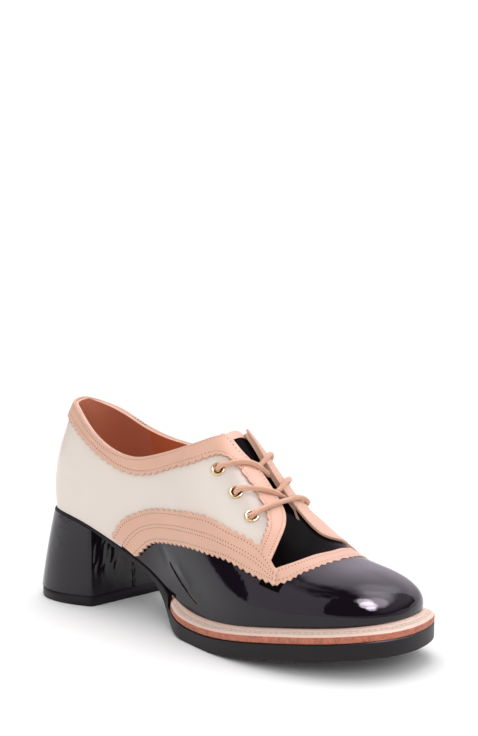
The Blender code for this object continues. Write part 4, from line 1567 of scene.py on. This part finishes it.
@dataclass
class Studio:
    """Floor, light and camera.

    The sun and the fill are each their size (degrees, metres), their power and their place.
    """

    last: Last
    daylight: float = 0.95
    backdrop: float = 1.1
    walls: float = 1.15
    back_glow: float = 0.66
    unlit: float = 0.02
    lower_wall: float = 0.17
    wall_wobble: float = 0.16
    side_drop: float = 0.14
    front_rise: float = 0.78
    floor_size: float = 30.0
    gloss_tint: Colour = (1.0, 0.90, 1.03)
    sun: tuple[float, float, Spot] = (42.0, 1.1, (-0.5, 0.5, 1.5))
    fill: tuple[float, float, Spot] = (0.5, 3.4, (1.2, -0.9, 0.9))
    boxes: tuple[SoftBox, ...] = (
        SoftBox(97.0, 41.0, 9.0, 0.4, 14.0), SoftBox(101.0, 52.0, 13.0, 0.3, 17.0),
        SoftBox(110.0, 62.0, 11.0, 0.4, 12.0), SoftBox(125.0, 50.0, 15.0, 0.5, 4.6),
        SoftBox(143.0, 54.0, 18.0, 0.6, 2.6), SoftBox(172.0, 52.0, 14.0, 0.6, 1.4))

    def build(self) -> None:
        """Set up the studio."""
        deselect()
        bpy.ops.mesh.primitive_plane_add(size=self.floor_size, location=(0, 0, 0))
        floor = bpy.context.object
        floor.name = "studio_floor"
        floor.data.materials.append(Paper("floor_paper", (0.93, 0.93, 0.93)).make())
        bpy.context.scene.view_settings.view_transform = "Standard"
        self._world()
        self._lights()
        self._camera()

    def _world(self) -> None:
        """White surroundings, which the gloss sees as a room with soft boxes."""
        world = bpy.data.worlds.new("studio_world")
        bpy.context.scene.world = world
        world.use_nodes = True
        nodes = Nodes(world.node_tree)
        direction = nodes.node("ShaderNodeTexCoord", output="Generated")
        side, back, up = (nodes.node("ShaderNodeSeparateXYZ", output=axis, Vector=direction)
                          for axis in "XYZ")
        wobble = nodes.node("ShaderNodeTexNoise", output="Fac", Vector=direction, Scale=5.0,
                            Detail=3.0)
        front_wall = side.under(0.19, 0.13) * (1 - side.under(-0.54, 0.07))
        rise = front_wall * self.front_rise + (wobble - 0.5) * self.wall_wobble
        above = up - (rise - side.under(-0.50, 0.06) * self.side_drop + self.lower_wall)
        lit = above.under(0.0, 0.04) * (side.under(0.55, 0.55) * 0.55 + 0.45)
        room = lit * self.walls + self.unlit
        glow = up.under(0.92, 0.05) * (1 - up.under(0.30, 0.15)) * (1 - back.under(0.16, 0.22))
        room = room + glow * self.back_glow
        for box in self.boxes:
            near = nodes.node("ShaderNodeVectorMath", {"operation": "DOT_PRODUCT"}, "Value",
                              i0=direction, i1=heading(box.azimuth, box.elevation))
            edge = math.cos(math.radians(box.radius))
            room = room + (1 - near.under(edge, box.blur * (1 - edge))) * box.power
        glossy = nodes.node("ShaderNodeLightPath", output="Is Glossy Ray")
        soft = nodes.node("ShaderNodeLightPath", output="Is Diffuse Ray")
        around = soft * (self.daylight - self.backdrop) + self.backdrop
        strength = glossy * room + (1 - glossy) * around
        tint = nodes.node("ShaderNodeMix", {"data_type": "RGBA"}, 2, i0=glossy,
                          i6=(1.0, 1.0, 1.0, 1.0), i7=(*self.gloss_tint, 1.0))
        background = world.node_tree.nodes["Background"]
        world.node_tree.links.new(strength.socket, background.inputs["Strength"])
        world.node_tree.links.new(tint.socket, background.inputs["Color"])

    def _lights(self) -> None:
        """Broad soft light from above and behind, and a fill beside the camera."""
        sun = bpy.data.lights.new("key_light", "SUN")
        sun.angle, sun.energy = math.radians(self.sun[0]), self.sun[1]
        fill = bpy.data.lights.new("fill_box", "AREA")
        fill.shape = "SQUARE"
        fill.size, fill.energy = self.fill[:2]
        for light, place in ((sun, self.sun[2]), (fill, self.fill[2])):
            lamp = bpy.data.objects.new(light.name, light)
            lamp.location = place
            lamp.visible_glossy = False
            aim = Vector((0, 0, 0.05)) - Vector(place)
            lamp.rotation_euler = aim.to_track_quat("-Z", "Y").to_euler()
            bpy.context.collection.objects.link(lamp)

    def _camera(self) -> None:
        """Camera at the photograph's place."""
        back = Vector(heading(CAMERA_AZIMUTH, CAMERA_ELEVATION))
        target = Vector((TARGET_ALONG, 0.0, TARGET_HEIGHT)) + Vector(self.last.shift)
        data = bpy.data.cameras.new("photo_camera")
        data.sensor_width = SENSOR
        data.lens = PIXELS_PER_METRE * CAMERA_DISTANCE * SENSOR / IMAGE_HEIGHT
        data.shift_x = (IMAGE_WIDTH / 2 - TARGET_PIXEL[0]) / IMAGE_HEIGHT
        data.shift_y = (TARGET_PIXEL[1] - IMAGE_HEIGHT / 2) / IMAGE_HEIGHT
        camera = bpy.data.objects.new("photo_camera", data)
        camera.location = target + CAMERA_DISTANCE * back
        camera.rotation_euler = back.to_track_quat("Z", "Y").to_euler()
        bpy.context.collection.objects.link(camera)
        bpy.context.scene.camera = camera


def fit_to_frame(last: Last, bottom: Bottom) -> None:
    """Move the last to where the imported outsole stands."""
    station = np.linspace(0, last.last_row, 61)
    margin = bottom.edge_margin(last.read(last.along, station))
    rims = np.vstack([last.rim(station, side, margin) for side in Side])
    low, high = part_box("outsole")
    aside = (low.y + high.y - rims[:, 1].min() - rims[:, 1].max()) / 2
    last.shift = np.array([low.x - rims[:, 0].min(), aside, 0.0])


def main() -> None:
    """Build the shoe round its frame."""
    logging.basicConfig(level=logging.INFO, format="%(name)s %(message)s")
    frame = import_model()
    last = Last()
    materials = {key: finish.make() for key, finish in FINISHES.items()}
    bottom = Bottom(last, materials)
    fit_to_frame(last, bottom)
    Studio(last).build()
    Upper(last, materials).build()
    Bands(last, materials).build()
    throat = Throat(last, materials)
    throat.tongue()
    throat.eyelets()
    throat.laces()
    bottom.welt()
    bottom.outsole()
    bottom.heel()
    bottom.heel_lift()
    bottom.dress_nodes(frame["nodes"])


if __name__ == "__main__":
    main()
